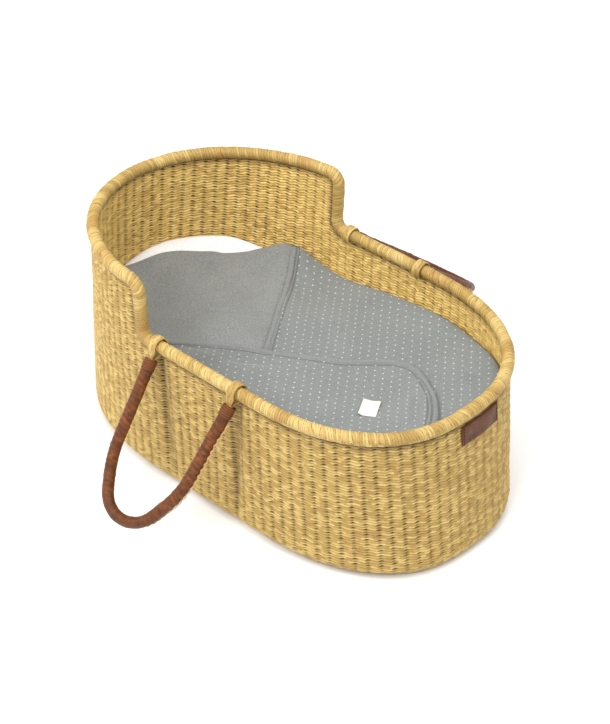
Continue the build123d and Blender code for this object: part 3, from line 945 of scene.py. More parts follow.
class HandleCovering(bpy.types.Operator):
    """Covers both handles with leather, ribbed over the rope inside, and binds their ends with lace"""

    bl_idname = "basket.cover_handles"
    bl_label = "Leather handles"

    STEP, AROUND = 0.0012, 36
    RIB_PITCH, RIB_HEIGHT, RIB_SIZES = 0.0086, 0.0008, 200
    DENT, KNOB, SUNK = 0.0003, 0.0006, 0.0009
    END_FADE, END_RISE, GRIP_HALF = 0.03, 0.0004, 0.09
    SEAM_TURN, SEAM_WIDTH, SEAM_DEPTH = 20, 0.10, 0.0012
    WRAP_PITCH, WRAP_TURNS, WRAP_RISE, WRAP_SUNK = 0.0040, 5, 0.0011, 0.0002

    def execute(self, context):
        colours = context.scene.basket_colours
        leather = leather_finish("brown leather", colours.leather)
        lace = leather_finish("lace leather", toned(colours.leather, 0.9))
        for seed, name in ((81, "front"), (83, "back")):
            form = HandleForm(name)
            line = form.line(form.LEATHER_START, self.STEP)
            across = form.outward(line)
            cover = solid_object(f"{name}_leather_cover", [self.cover(form, line, across, seed)], leather)
            settle(cover, f"{name}_handle_leather", "brown_leather", f"{name}_handle")
            for end, way in (("head", 1), ("foot", -1)):
                part = self.wrap(form, line[::way], across[::way])
                wrap = solid_object(f"{name}_{end}_lace_wrap", [part], lace)
                settle(wrap, f"{name}_{end}_end_wrap", "brown_leather", f"{name}_handle")
        return {"FINISHED"}

    def cover(self, form, line, across, seed):
        """The ribbed, seamed sleeve. The ribs fade at both ends and where a hand holds it."""
        length = lengths_along(line)[None, :]
        angle = whole_turn(self.AROUND)[:, None]
        shape = (self.AROUND, line.shape[0])
        wander = 0.35 * smooth_noise(shape, (2, 26), seed)
        ribs = length / self.RIB_PITCH + 0.55 * np.cos(angle) + wander
        sizes = np.random.default_rng(seed).uniform(0.35, 1.0, self.RIB_SIZES)
        size = sizes[np.floor(ribs).astype(int) % self.RIB_SIZES]
        bulge = np.cos(math.pi * from_middle(ribs)) ** 2
        ends = np.clip(np.minimum(length, length.max() - length) / self.END_FADE, 0, 1)
        strength = ends * (1 - 0.75 * bell(length - 0.5 * length.max(), self.GRIP_HALF))
        seam = bell(angle - math.radians(self.SEAM_TURN), self.SEAM_WIDTH)
        dents = smooth_noise(shape, (5, 90), seed + 1)
        knobs = np.clip(smooth_noise(shape, (7, 110), seed + 2), 0, 1)
        radius = (form.LEATHER_RADIUS - self.SUNK + self.RIB_HEIGHT * bulge * size * strength
                  + self.DENT * dents + self.KNOB * knobs * strength - self.SEAM_DEPTH * seam
                  + self.END_RISE * (1 - ends))
        # Lighter rib tops and knobs are partly rubbed wear and partly painted highlight; the shade is
        # painted shade between the ribs and in the seam
        rub_and_highlight = np.clip(0.35 * bulge * size * strength + 0.2 * dents + 0.9 * knobs * strength, 0, 1)
        shade = np.clip(0.22 * (1 - bulge) ** 3 * strength + 0.8 * seam, 0, 1)
        return tube_part(line, radius, across, form.under, {"rub_and_highlight": rub_and_highlight, "shade": shade})

    def wrap(self, form, line, across):
        """Turns of thin lace side by side, round the handle's end."""
        count = int(np.searchsorted(lengths_along(line), self.WRAP_PITCH * self.WRAP_TURNS))
        line, across = resampled(line[:count], 4 * count), resampled(across[:count], 4 * count)
        length = lengths_along(line)[None, :]
        turns = length / self.WRAP_PITCH - whole_turn(self.AROUND)[:, None] / (2 * math.pi) + 1
        ridge = rounded_back(from_middle(turns), 3, 0.5)
        radius = form.LEATHER_RADIUS - self.WRAP_SUNK + self.WRAP_RISE * ridge
        # Lighter lace ridges, partly rubbed wear and partly painted highlight; painted shade between the
        # turns
        values = {"rub_and_highlight": 0.7 * ridge**3, "shade": 0.85 * (1 - ridge) ** 1.5}
        return tube_part(line, radius, across, form.under, values)


class HandleLoops(bpy.types.Operator):
    """Makes the grass loops that hold the handles on the rim"""

    bl_idname = "basket.tie_loops"
    bl_label = "Grass loops"

    STRANDS = 4
    SECTION = 28
    HALF_WIDTH, TAIL_HALF_WIDTH = 0.0088, 0.0052
    HALF_THICKNESS, TONES = 0.0021, 8
    FIBRE = (14.0, 160.0, 1.0)
    RING, RING_OPENING = 0.01485, 42
    TAIL = ((0.031, 0.0023), (0.0245, 0.0035), (0.0185, 0.0066))
    ROUTE_STEPS, SMOOTHINGS = 130, 6

    def execute(self, context):
        colours = context.scene.basket_colours
        finish = grass_finish(
            "loop grass", colours, tuple(colours.rim_light), tuple(colours.rim), self.FIBRE)
        for seed, name in ((91, "front"), (97, "back")):
            form = HandleForm(name)
            for end, corner in (("head", form.corners[0]), ("foot", form.corners[-1])):
                points, values = self.band(form, corner[0], seed + (end == "foot"))
                loop = grid_object(f"{name}_{end}_grass_loop", points, finish, close_v=True, values=values)
                settle(loop, f"{name}_{end}_loop", "grass_rim", f"{name}_handle")
        return {"FINISHED"}

    def route(self):
        """Teardrop round the rim, in the plane across the hinge line: down the leg, and to the side."""
        turn = np.radians(np.linspace(self.RING_OPENING, 360 - self.RING_OPENING, 60))
        ring = np.column_stack([self.RING * np.cos(turn), self.RING * np.sin(turn)])
        leave = np.array(self.TAIL)
        path = np.concatenate([leave, ring, leave[::-1] * (1, -1)])
        path = resampled(np.column_stack([path, np.zeros(len(path))]), self.ROUTE_STEPS)
        for _ in range(self.SMOOTHINGS):
            path[1:-1] = (path[:-2] + 2 * path[1:-1] + path[2:]) / 4
        return path[:, :2]

    def band(self, form, x, seed):
        """Points and values of one loop: flat strands side by side, narrower where they enter the handle."""
        path = self.route()
        tangent = unit(np.gradient(path, axis=0))
        outer = np.column_stack([tangent[:, 1], -tangent[:, 0]])
        outer *= np.sign(np.sum(outer[60] * path[60]))
        run = np.linspace(-1, 1, len(path))
        tail = smooth_step(np.abs(run), 0.62, 0.92)
        half = self.HALF_WIDTH + (self.TAIL_HALF_WIDTH - self.HALF_WIDTH) * tail
        angle = whole_turn(self.SECTION)
        wide, high = (np.sign(part) * np.abs(part) ** 0.6 for part in (np.cos(angle), np.sin(angle)))
        strand = (wide[:, None] + 1) / 2 * self.STRANDS + 0.25 * np.sin(3 * run[None, :] * math.pi + seed)
        ridge = rounded_back(from_middle(strand), 2.2, 0.6)
        tones = np.random.default_rng(seed).uniform(0.15, 0.95, self.TONES)
        thick = self.HALF_THICKNESS * (0.62 + 0.46 * ridge)
        plane = path[None] + (high[:, None] * thick)[..., None] * outer[None]
        points = form.put(x + wide[:, None] * half[None, :], plane[..., 0], plane[..., 1])
        tone = tones[np.floor(strand).astype(int) % self.TONES]
        place = np.stack([np.broadcast_to(run, strand.shape) * 4, strand, np.zeros_like(strand)], -1)
        # Painted shade in the grooves between the strands
        return points, {"shade": 0.7 * (1 - ridge) ** 2, "tone": tone, "strand": place}


class Lacing(bpy.types.Operator):
    """Sews the pale lacing along the seam of each handle"""

    bl_idname = "basket.lace_handles"
    bl_label = "Handle lacing"

    START, STEP, RADIUS, SECTION = 0.052, 0.0015, 0.0011, 8
    TURN, LOOSE_TURN, LOOSE_FROM, LOOSE_TO = 46.0, 42.0, 0.64, 0.74
    WAVE, WAVE_PITCH = 0.0016, 0.0115

    def execute(self, context):
        thread = thread_finish("pale thread", linear(208, 166, 110))
        for seed, name in ((101, "front"), (103, "back")):
            form = HandleForm(name)
            line = form.line(self.START, self.STEP)
            outward = form.outward(line)
            length = lengths_along(line)
            loose = smooth_step(length / length[-1], self.LOOSE_FROM, self.LOOSE_TO)
            turn = np.radians(self.TURN - self.LOOSE_TURN * loose)
            wander = smooth_noise((1, len(line)), (1, 14), seed)[0]
            wave = 2 * math.pi * length / self.WAVE_PITCH
            turns = (turn + self.WAVE / form.LEATHER_RADIUS * (np.sin(wave) + wander))[:, None]
            ripple = np.cos(wave) + wander
            reach = form.LEATHER_RADIUS + self.RADIUS * (0.5 + loose * (0.1 + 0.6 * ripple))[:, None]
            lace = line + reach * (np.cos(turns) * outward + np.sin(turns) * form.under)
            side, up = frames_along(lace, form.under)
            radius = np.full((self.SECTION, len(lace)), self.RADIUS)
            piece = solid_object(f"{name}_seam_lacing", [tube_part(lace, radius, side, up)], thread)
            settle(piece, f"{name}_handle_lacing", "pale_thread", f"{name}_handle")
        return {"FINISHED"}


class LeatherTab(bpy.types.Operator):
    """Makes the leather tab at the foot end and the stitches that hold it"""

    bl_idname = "basket.sew_tab"
    bl_label = "Leather tab"

    COLUMNS, ROWS = 60, 26
    ROUNDED, PUFF = 0.0025, 0.0007
    BACK_GAP, EDGE_GAP, THICKNESS, STITCH_GAP = 0.0004, 0.0012, 0.0019, 0.0032
    STITCHES, PITCH, INSET = 5, 0.007, 0.004
    STITCH_RADIUS, STITCH_HALF, STITCH_DIP, SECTION = 0.0009, 0.0030, 0.0016, 8
    THREAD_STEPS = 9

    def execute(self, context):
        shape, _, colours = settings_of(context)
        form = Form(shape)
        low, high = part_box("leather_tab")
        y = np.linspace(low.y, high.y, self.COLUMNS)[None, :]
        z = np.linspace(low.z, high.z, self.ROWS)[:, None]
        edge = np.minimum(np.minimum(y - low.y, high.y - y), np.minimum(z - low.z, high.z - z))
        rounded = np.sqrt(np.clip(edge / self.ROUNDED, 0, 1))
        puff = self.PUFF * smooth_noise((self.ROWS, self.COLUMNS), (3, 7), 107)
        inner = self.outside(form, y, z, shape.wall / 2 + self.BACK_GAP)
        outer = self.outside(form, y, z, shape.wall / 2 + self.EDGE_GAP) + (self.THICKNESS + puff) * rounded
        y, z = np.broadcast_to(y, inner.shape), np.broadcast_to(z, inner.shape)
        front, back = np.stack([outer, y, z], -1), np.stack([inner, y, z], -1)
        # Edges and puffs made lighter, partly rubbed wear and partly painted highlight; painted shade on the
        # rounded edges
        rub_and_highlight = np.clip(0.5 * (1 - rounded) + 0.3 * puff / self.PUFF, 0, 1)
        part = slab_part(front, back, {"rub_and_highlight": rub_and_highlight, "shade": 0.5 * (1 - rounded) ** 2})
        tab = solid_object("leather_end_tab", [part], leather_finish("tab leather", colours.leather))
        settle(tab, "leather_tab", "brown_leather")
        thread = thread_finish("dark thread", linear(58, 34, 22))
        stitches = solid_object("tab_thread", list(self.stitches(form, low, high)), thread)
        settle(stitches, "tab_stitches", "dark_thread")
        return {"FINISHED"}

    @staticmethod
    def outside(form, y, z, grow):
        """Place of the foot end's surface along the basket."""
        half_length, half_width = form.sizes(z)
        across = np.clip(np.abs(y) / (half_width + grow), 0, 1)
        reach = half_length + grow - form.s.foot_bend
        return form.s.foot_bend + reach * (1 - across**form.FOOT_POWER) ** (1 / form.FOOT_POWER)

    def stitches(self, form, low, high):
        """Upright stitches in a row at each end of the tab, dipping into it at both their ends."""
        arc = np.linspace(-1, 1, self.THREAD_STEPS)
        for y in (low.y + self.INSET, high.y - self.INSET):
            for k in range(self.STITCHES):
                z = (low.z + high.z) / 2 + (k - (self.STITCHES - 1) / 2) * self.PITCH
                along = z + arc * self.STITCH_HALF
                x = self.outside(form, y, along, form.s.wall / 2 + self.STITCH_GAP)
                line = np.column_stack([x - self.STITCH_DIP * arc**4, np.full(x.shape, y), along])
                side, up = frames_along(line, (1.0, 0.0, 0.0))
                yield tube_part(line, np.full((self.SECTION, len(line)), self.STITCH_RADIUS), side, up)


# ------------------------------------------------------------------- bedding


class Bed:
    """Levels of the bedding's layers, and the plan lines that bound them."""

    GAP = 0.0035
    SHEET = 0.1945
    EDGE_RISE, TUCKED_RISE, SIDE_RISE = 0.013, 0.015, 0.004
    HEAD_RISE, FOOT_RISE, SLACK_DROP = 0.010, 0.016, 0.022
    PANEL_STEP, FAR_STEP, NEAR_STEP, FILLED_STEP = 0.006, 0.006, 0.005, 0.008
    SHARE_STEPS = 4000
    HOLDING_STEPS = 12
    CORNER, CORNER_WIDTH, CORNER_RISE = (-0.200, 0.215), 0.05, 0.010
    PANEL_EDGE = (
        (-0.390, -0.062), (-0.380, 0.000), (-0.369, 0.052), (-0.330, 0.100), (-0.270, 0.166),
        (-0.205, 0.235))
    FAR_EDGE = ((-0.2055, 0.2365), (-0.025, -0.030), (0.118, -0.240))
    NEAR_EDGE = (
        (-0.222, -0.212), (-0.150, -0.140), (-0.078, -0.089), (0.012, -0.045), (0.102, 0.001),
        (0.132, 0.026), (0.172, 0.070), (0.207, 0.086), (0.244, 0.072), (0.290, 0.040),
        (0.338, -0.014), (0.380, -0.084))

    def __init__(self, form):
        self.form = form

    def wall_gap(self, x, y):
        """Roughly how far a plan point is from the inside of the wall."""
        s = self.form.s
        half_length, half_width = self.form.sizes(self.SHEET)
        half_length = half_length - s.wall / 2 - self.GAP
        half_width = half_width - s.wall / 2 - self.GAP
        head = np.clip(s.head_bend - x, 0, None) / (half_length + s.head_bend)
        foot = np.clip(x - s.foot_bend, 0, None) / (half_length - s.foot_bend)
        past = head**self.form.HEAD_POWER + foot**self.form.FOOT_POWER
        power = np.where(x > 0, self.form.FOOT_POWER, self.form.HEAD_POWER)
        reach = (past + (np.abs(y) / half_width) ** power) ** (1 / power)
        return (1 - reach) * half_width

    def held_in(self, plan):
        """Moves plan points that would be in the wall back towards the basket's middle line."""
        plan = plan.copy()
        for _ in range(self.HOLDING_STEPS):
            lack = np.clip(-self.wall_gap(plan[:, 0], plan[:, 1]), 0, None)
            plan[:, 1] -= np.sign(plan[:, 1]) * lack
        return plan

    def sheet(self, x, y):
        """Top of the sheet: raised at the wall, both ends and the quilt's corner, slack at a side."""
        gap = self.wall_gap(x, y)
        edge = self.EDGE_RISE * (1 - smooth_step(gap, 0.0, 0.06))
        head = self.HEAD_RISE * smooth_step(-x, 0.24, 0.37)
        tucked = 1 - smooth_step(gap, 0.0, 0.035)
        tucked = self.TUCKED_RISE * tucked * smooth_step(-x, 0.24, 0.33) * smooth_step(y, -0.05, 0.08)
        head = head + tucked
        slack = self.SLACK_DROP * bell(x + 0.085, 0.085) * smooth_step(y, 0.06, 0.20)
        foot = self.FOOT_RISE * smooth_step(x, 0.22, 0.36)
        side = self.SIDE_RISE * smooth_step(np.abs(y), 0.1, 0.2)
        from_corner = np.hypot(x - self.CORNER[0], y - self.CORNER[1])
        corner = self.CORNER_RISE * bell(from_corner, self.CORNER_WIDTH)
        return self.SHEET + edge + head + foot + side + corner - slack

    def panel(self, x, y):
        """Top of the quilt's plain panel."""
        return self.sheet(x, y) + self.PANEL_STEP

    def far(self, x, y):
        """Top of the far flap, which is fuller towards the foot end."""
        return self.panel(x, y) + self.FAR_STEP + self.FILLED_STEP * smooth_step(x, -0.20, 0.10)

    def near(self, x, y):
        """Top of the near flap, which is fuller towards the foot end."""
        return self.far(x, y) + self.NEAR_STEP + self.FILLED_STEP * smooth_step(x, -0.15, 0.14)

    def inside(self, u, level):
        """Plan point of the wall's inside a share u of the way round."""
        return self.form.at(u, level, -self.form.s.wall / 2 - self.GAP)

    def share_near(self, point, level):
        """Share of the way round at which the wall's inside is nearest a plan point."""
        u = np.linspace(0, 1, self.SHARE_STEPS, endpoint=False)
        x, y = self.inside(u, level)
        return u[np.argmin(np.hypot(x - point[0], y - point[1]))]


def smooth_route(corners, count):
    """Smooth plan line through a few corners, as evenly spaced points."""
    curve = bpy.data.curves.new("route", "CURVE")
    curve.dimensions = "3D"
    spline = curve.splines.new("NURBS")
    spline.points.add(len(corners) - 1)
    for point, corner in zip(spline.points, corners):
        point.co = (*corner, 0.0, 1.0)
    spline.order_u = 3
    spline.use_endpoint_u = True
    spline.resolution_u = 24
    holder = bpy.data.objects.new("route", curve)
    mesh = bpy.data.meshes.new_from_object(holder)
    points = np.array([vertex.co[:] for vertex in mesh.vertices])
    bpy.data.objects.remove(holder)
    bpy.data.meshes.remove(mesh)
    bpy.data.curves.remove(curve)
    return resampled(points, count)[:, :2]


def fold(x, y, first, last, width, height):
    """A soft ridge, or a crease where height is negative, between two plan points, fading at both."""
    (ax, ay), (bx, by) = first, last
    length = math.hypot(bx - ax, by - ay)
    along = ((x - ax) * (bx - ax) + (y - ay) * (by - ay)) / length**2
    across = ((x - ax) * (by - ay) - (y - ay) * (bx - ax)) / length
    bend = across + 0.12 * length * (along - 0.5) ** 2
    fade = smooth_step(along, -0.15, 0.25) * (1 - smooth_step(along, 0.75, 1.15))
    return height * bell(bend, width) * fade


def plan_noise(x, y, scale, seed):
    """Smooth noise from -1 to 1 over the plan."""
    random = np.random.default_rng(seed)
    waves = 7
    total = np.zeros(np.shape(x))
    for _ in range(waves):
        turn, phase = random.uniform(0, 2 * math.pi, 2)
        pace = scale * random.uniform(0.6, 1.6)
        total = total + np.sin(pace * 2 * (x * math.cos(turn) + y * math.sin(turn)) + phase)
    return total / (waves / 2)


def distance_to(plan, line):
    """Plan distance of each point to the nearest point of a line."""
    flat = plan.reshape(-1, 2)
    nearest = np.full(len(flat), np.inf)
    for point in line:
        nearest = np.minimum(nearest, np.hypot(*(flat - point).T))
    return nearest.reshape(plan.shape[:-1])


def jersey_finish(name, dark, light, dots=None, knit=900.0):
    """Knitted jersey with a two-tone melange and fine ribs.

    dots, where given, are the colour, pitch and radius of printed dots in staggered, uneven rows.
    """
    f = Finish(name, roughness=0.88, specular_ior_level=0.2, sheen_weight=0.25, sheen_roughness=0.5)
    place = f.place()
    turned = f.node("Mapping", {"Vector": place, "Rotation": (0.0, 0.0, math.radians(52))}).outputs["Vector"]
    flecks = f.noise(f.stretched(turned, (260.0, 640.0, 400.0)), 1.0, 3.0, 0.7)
    broad = f.noise(place, 14.0, 2.0)
    share = f.sums("ADD", f.ramp(flecks, 0.36, 0.64), f.ramp(broad, 0.3, 0.7, -0.12, 0.12), clamp=True)
    # Painted shade: the shade value darkens the knit
    tint = f.mix(f.value("shade"), f.mix(share, dark, light), toned(dark, 0.22))
    if dots:
        colour, pitch, radius = dots
        strayed = f.node("TexNoise", {"Vector": place, "Scale": 70.0, "Detail": 1.0}).outputs["Color"]
        strayed = f.node("VectorMath", {0: strayed, 3: 0.28 * pitch}, operation="SCALE").outputs["Vector"]
        strayed = f.node("VectorMath", {0: turned, 1: strayed}, operation="ADD").outputs["Vector"]
        spread = f.stretched(strayed, (1 / pitch, 1 / pitch, 0.0))
        axes = f.node("SeparateXYZ", {"Vector": spread}).outputs
        row = f.sums("FLOOR", axes["Y"])
        shifted = f.sums("ADD", axes["X"], f.sums("MULTIPLY", row, 0.5))
        across = f.sums("SUBTRACT", f.sums("FRACT", shifted), 0.5)
        down = f.sums("SUBTRACT", f.sums("FRACT", axes["Y"]), 0.5)
        squares = (f.sums("MULTIPLY", offset, offset) for offset in (across, down))
        away = f.sums("SQRT", f.sums("ADD", *squares))
        dot = f.ramp(away, radius / pitch * 1.25, radius / pitch * 0.75, 0.0, 0.75)
        tint = f.mix(dot, tint, colour)
    ribs = f.noise(f.stretched(turned, (knit, knit * 2.2, knit)), 1.0, 2.0, 0.6)
    return f.wire(base_color=tint, normal=f.bump(ribs, 0.0006, 0.55))


class Underlay(bpy.types.Operator):
    """Makes the pad, the mattress and the fitted sheet that the quilt lies on"""

    bl_idname = "basket.make_mattress"
    bl_label = "Pad, mattress and sheet"

    STEPS_ROUND = 220
    SIDE_STEPS, COVER_STEPS = 15, 12
    SIDE_GAP, BULGE, PLAY, WOBBLE = 0.004, 0.014, 0.0012, 0.0008
    CREASE, THIN, TURNED_DOWN = 0.0012, 0.0016, 0.006
    FOLDS = (((-0.385, -0.02), (-0.30, 0.16), 0.010, 0.003), ((-0.33, 0.10), (-0.25, 0.20), 0.008, -0.003))
    PULL, TOP_SHARE = 1.02, 0.88

    def execute(self, context):
        shape, _, colours = settings_of(context)
        form = Form(shape)
        cotton = jersey_finish("white cotton", colours.sheet, linear(244, 242, 244), knit=1300.0)
        pads = (("base_pad", "wadded_base_pad", "wadding", 0.8),
                ("mattress_foam", "mattress_block", "foam", 0.95))
        for seed, (node, name, slot, fill) in enumerate(pads, 111):
            low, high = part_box(node)
            pad = self.block(form, name, low.z, high.z, cotton, seed)
            settle(pad, node, slot)
        self.cover(form, Bed(form), cotton)
        return {"FINISHED"}

    def block(self, form, name, bottom, top, material, seed):
        """Stuffed block with bulged sides and a crowned top and underside."""
        u = np.linspace(0, 1, self.STEPS_ROUND, endpoint=False)
        angle = np.linspace(-math.pi / 2, math.pi / 2, self.SIDE_STEPS)
        middle, half = (bottom + top) / 2, (top - bottom) / 2 - self.PLAY
        side_z = middle + half * np.sin(angle) * (1 - 0.05 * np.cos(angle))
        side_inset = self.SIDE_GAP + self.BULGE * (1 - np.cos(angle) ** 0.6)
        cover = np.linspace(0.93, 0.03, self.COVER_STEPS)
        corner = form.s.corner
        rows = []
        for level, inset in zip(side_z, side_inset):
            floor_gap = corner - math.sqrt(max(corner**2 - max(corner - level, 0) ** 2, 0))
            x, y = form.at(u, level, -form.s.wall / 2 - inset - floor_gap)
            rows.append(np.column_stack([x, y, np.full(x.shape, level)]))
        over = [rows[-1] * (share, share, 1) for share in cover]
        under = [rows[0] * (share, share, 1) for share in cover[::-1]]
        points = np.array(under + rows + over)
        z = points[..., 2]
        wobble = self.WOBBLE * smooth_noise(z.shape, (8, 20), seed, wrap=True)
        points[..., 2] = z + np.where((z > bottom + 0.01) & (z < top - 0.004), wobble, 0)
        block = grid_object(name, points, material, close_u=True)
        mended(block.data, fill=True)
        return block

    def cover(self, form, bed, material):
        """The sheet: a thin skin over the mattress, creased and rounded down at its edge."""
        u = np.linspace(0, 1, self.STEPS_ROUND, endpoint=False)
        share = np.concatenate([np.linspace(0.02, 0.9, 56), np.linspace(0.915, 1.0, 9)])[:, None]
        edge_x, edge_y = bed.inside(u, bed.SHEET)
        along = np.clip(edge_x, form.s.head_bend, form.s.foot_bend)[None, :]
        x, y = along + (edge_x[None, :] - along) * share, edge_y[None, :] * share
        wrinkle = self.CREASE * smooth_noise(x.shape, (7, 30), 117, wrap=True)
        wrinkle = wrinkle + sum(fold(x, y, *crease) for crease in self.FOLDS)
        top = bed.sheet(x, y) + wrinkle - self.TURNED_DOWN * share**40
        upper, lower = (np.stack([x, y, level], -1) for level in (top, top - self.THIN))
        skin = np.concatenate([lower[::-1], upper])[::-1]
        sheet = grid_object("fitted_cotton_sheet", skin, material, close_u=True, close_v=True)
        length, width = float(np.ptp(edge_x)), float(np.ptp(edge_y))
        settle(sheet, "fitted_sheet", "white_cotton")


class Quilt(bpy.types.Operator):
    """Makes the folded quilt: the plain panel, the two dotted flaps and their bound edges"""

    bl_idname = "basket.fold_quilt"
    bl_label = "Quilt"

    ALONG, ROWS, CROWDED = 260, 70, 1.6
    LIFT, FILL = 0.03, 0.35
    WALL_ROUND, WALL_LOW = 0.006, 0.35
    SEAM_STEPS = 1200
    SEAM_IN, SEAM_WIDTH, SEAM_SHADE, SEAM_DEPTH = 0.0085, 0.0018, 0.5, 0.0014
    TUCK_WIDTH, TUCK_SHADE = 0.0065, 0.72
    BINDING_STEPS, BINDING_AROUND = 420, 16
    BINDING_ASIDE, BINDING_SHADE = 0.55, 0.75
    DOT_PITCH, DOT_RADIUS = 0.0148, 0.00125
    LABEL_HALF_WIDTH, LABEL_HALF_LENGTH, LABEL_TURN = 0.015, 0.023, 30
    LABEL_LIFT, LABEL_THICKNESS, LABEL_CURL, LABEL_RIPPLE = 0.0010, 0.0006, 0.004, 0.0007
    WELD = 0.0003
    # Height, pace and seed of each part's low swells
    SWELLS = {
        "panel": ((0.0022, 13.0, 131), (0.0008, 40.0, 133)),
        "far": ((0.0026, 10.0, 137), (0.0009, 36.0, 139)),
        "near": ((0.0024, 10.0, 141), (0.0009, 36.0, 143)),
    }
    # First and last plan point, width and height of each part's folds; a height below 0 makes a crease
    FOLDS = {
        "panel": (
            ((-0.215, -0.02), (-0.125, 0.085), 0.007, 0.0028),
            ((-0.205, -0.035), (-0.11, 0.07), 0.006, -0.0024),
            ((-0.275, 0.10), (-0.205, 0.225), 0.009, 0.0045), ((-0.25, 0.07), (-0.19, 0.20), 0.008, -0.0030),
            ((-0.33, -0.03), (-0.21, 0.01), 0.006, -0.0022), ((-0.31, 0.12), (-0.26, 0.17), 0.006, -0.0026),
            ((-0.36, 0.0), (-0.30, 0.13), 0.010, 0.0030)),
        "far": (
            ((-0.195, 0.215), (0.02, 0.13), 0.012, 0.004), ((-0.17, 0.17), (0.05, 0.06), 0.011, -0.003),
            ((-0.10, 0.20), (0.10, 0.17), 0.014, 0.0035), ((0.300, 0.135), (0.365, 0.075), 0.007, -0.005),
            ((0.22, 0.17), (0.36, 0.06), 0.016, 0.006)),
        "near": (
            ((0.150, 0.004), (0.245, -0.030), 0.007, 0.0042),
            ((0.140, -0.008), (0.235, -0.044), 0.006, -0.0034),
            ((-0.05, -0.13), (0.06, -0.06), 0.007, -0.0026), ((0.26, 0.02), (0.32, -0.06), 0.008, 0.0030),
            ((-0.12, -0.145), (0.08, -0.10), 0.014, 0.003)),
    }

    def execute(self, context):
        shape, _, colours = settings_of(context)
        bed = Bed(Form(shape))
        dots = (linear(208, 211, 208), self.DOT_PITCH, self.DOT_RADIUS)
        melange = jersey_finish("grey melange", toned(colours.melange, 0.72), toned(colours.melange, 1.25))
        dotted = jersey_finish(
            "dotted jersey", toned(colours.jersey, 0.8), toned(colours.jersey, 1.14), dots)
        binding = jersey_finish("binding jersey", toned(colours.melange, 0.74), toned(colours.melange, 1.10))
        panel, far, near = (self.top(part, getattr(bed, part)) for part in ("panel", "far", "near"))
        layers = (
            ("quilt_plain_panel", "quilt_under_panel", "grey_melange", self.layer(
                bed, bed.PANEL_EDGE, bed.sheet, panel, 0.004, seamed=False, over=bed.FAR_EDGE), melange),
            ("quilt_dotted_far_flap", "quilt_far_flap", "dotted_jersey", self.layer(
                bed, bed.FAR_EDGE, panel, far, 0.007, over=bed.NEAR_EDGE), dotted),
            ("quilt_dotted_near_flap", "quilt_near_flap", "dotted_jersey", self.layer(
                bed, bed.NEAR_EDGE, far, near, 0.009), dotted))
        for name, node, slot, (points, shade), finish in layers:
            piece = grid_object(name, points, finish, close_v=True, values={"shade": shade})
            mended(piece.data, weld=self.WELD)
            piece.data.shade_smooth()
            settle(piece, node, slot)
        for name, node, edge, under, radius, away in (
                ("far_flap_bound_edge", "far_flap_piping", bed.FAR_EDGE, panel, 0.0048, 1),
                ("near_flap_bound_edge", "near_flap_binding", bed.NEAR_EDGE, far, 0.0056, -1)):
            part = self.bound_edge(bed, edge, under, radius, away)
            settle(solid_object(name, [part], binding), node, "grey_binding")
        label = self.label(near)
        settle(label, "care_label", "label_cotton")
        return {"FINISHED"}

    def top(self, part, level):
        """Height of a part's top side over the plan: its level, swells, folds and creases."""
        def height(x, y):
            total = level(x, y)
            for size, pace, seed in self.SWELLS[part]:
                total = total + size * plan_noise(x, y, pace, seed)
            for line in self.FOLDS[part]:
                total = total + fold(x, y, *line)
            return total
        return height

    def layer(self, bed, corners, lower, upper, round_edge, seamed=True, over=None):
        """Closed grid of points, top side first, and its shade, for a layer from its free edge to the wall.

        A seamed layer has a sunken seam line inside its edge, with painted shade in it. over is the edge of
        the layer that lies on it, along which a painted shadow falls.
        """
        edge = bed.held_in(smooth_route(corners, self.ALONG))
        first, last = (bed.share_near(corner, bed.SHEET) for corner in (corners[0], corners[-1]))
        if corners is bed.NEAR_EDGE:
            first -= 0 if first < 0.5 else 1
        elif corners is bed.PANEL_EDGE:
            last += 1 if last < first else 0
        else:
            last -= 1 if last > first else 0
        border = np.column_stack(bed.inside(np.linspace(first, last, self.ALONG), bed.SHEET + self.LIFT))
        share = np.linspace(0, 1, self.ROWS)[:, None, None] ** self.CROWDED
        plan = edge[None] * (1 - share) + border[None] * share
        x, y = plan[..., 0], plan[..., 1]
        bottom, top = lower(x, y), upper(x, y)
        near = np.clip(np.linalg.norm(plan - edge[None], axis=-1) / round_edge, 0, 1)
        wall = np.clip(np.linalg.norm(plan - border[None], axis=-1) / self.WALL_ROUND, 0, 1)
        at_wall = self.WALL_LOW + (1 - self.WALL_LOW) * np.sqrt(1 - (1 - wall) ** 2)
        top = bottom + (top - bottom) * np.sqrt(1 - (1 - near) ** 2) * at_wall
        shade = np.zeros(x.shape)
        if seamed:
            from_edge = distance_to(plan, smooth_route(corners, self.SEAM_STEPS))
            # Painted shade in the sunken seam inside the edge
            seam_groove = bell(from_edge - self.SEAM_IN, self.SEAM_WIDTH)
            top, shade = top - self.SEAM_DEPTH * seam_groove, shade + self.SEAM_SHADE * seam_groove
        if over:
            from_over = distance_to(plan, smooth_route(over, self.SEAM_STEPS))
            # Painted shadow where the upper layer's edge lies on this one
            shade = shade + self.TUCK_SHADE * bell(from_over, self.TUCK_WIDTH)
        upper_side, under_side = np.stack([x, y, top], -1), np.stack([x, y, bottom], -1)
        points = np.concatenate([upper_side, under_side[-2:0:-1]])
        return points, np.concatenate([shade, shade[-2:0:-1]])

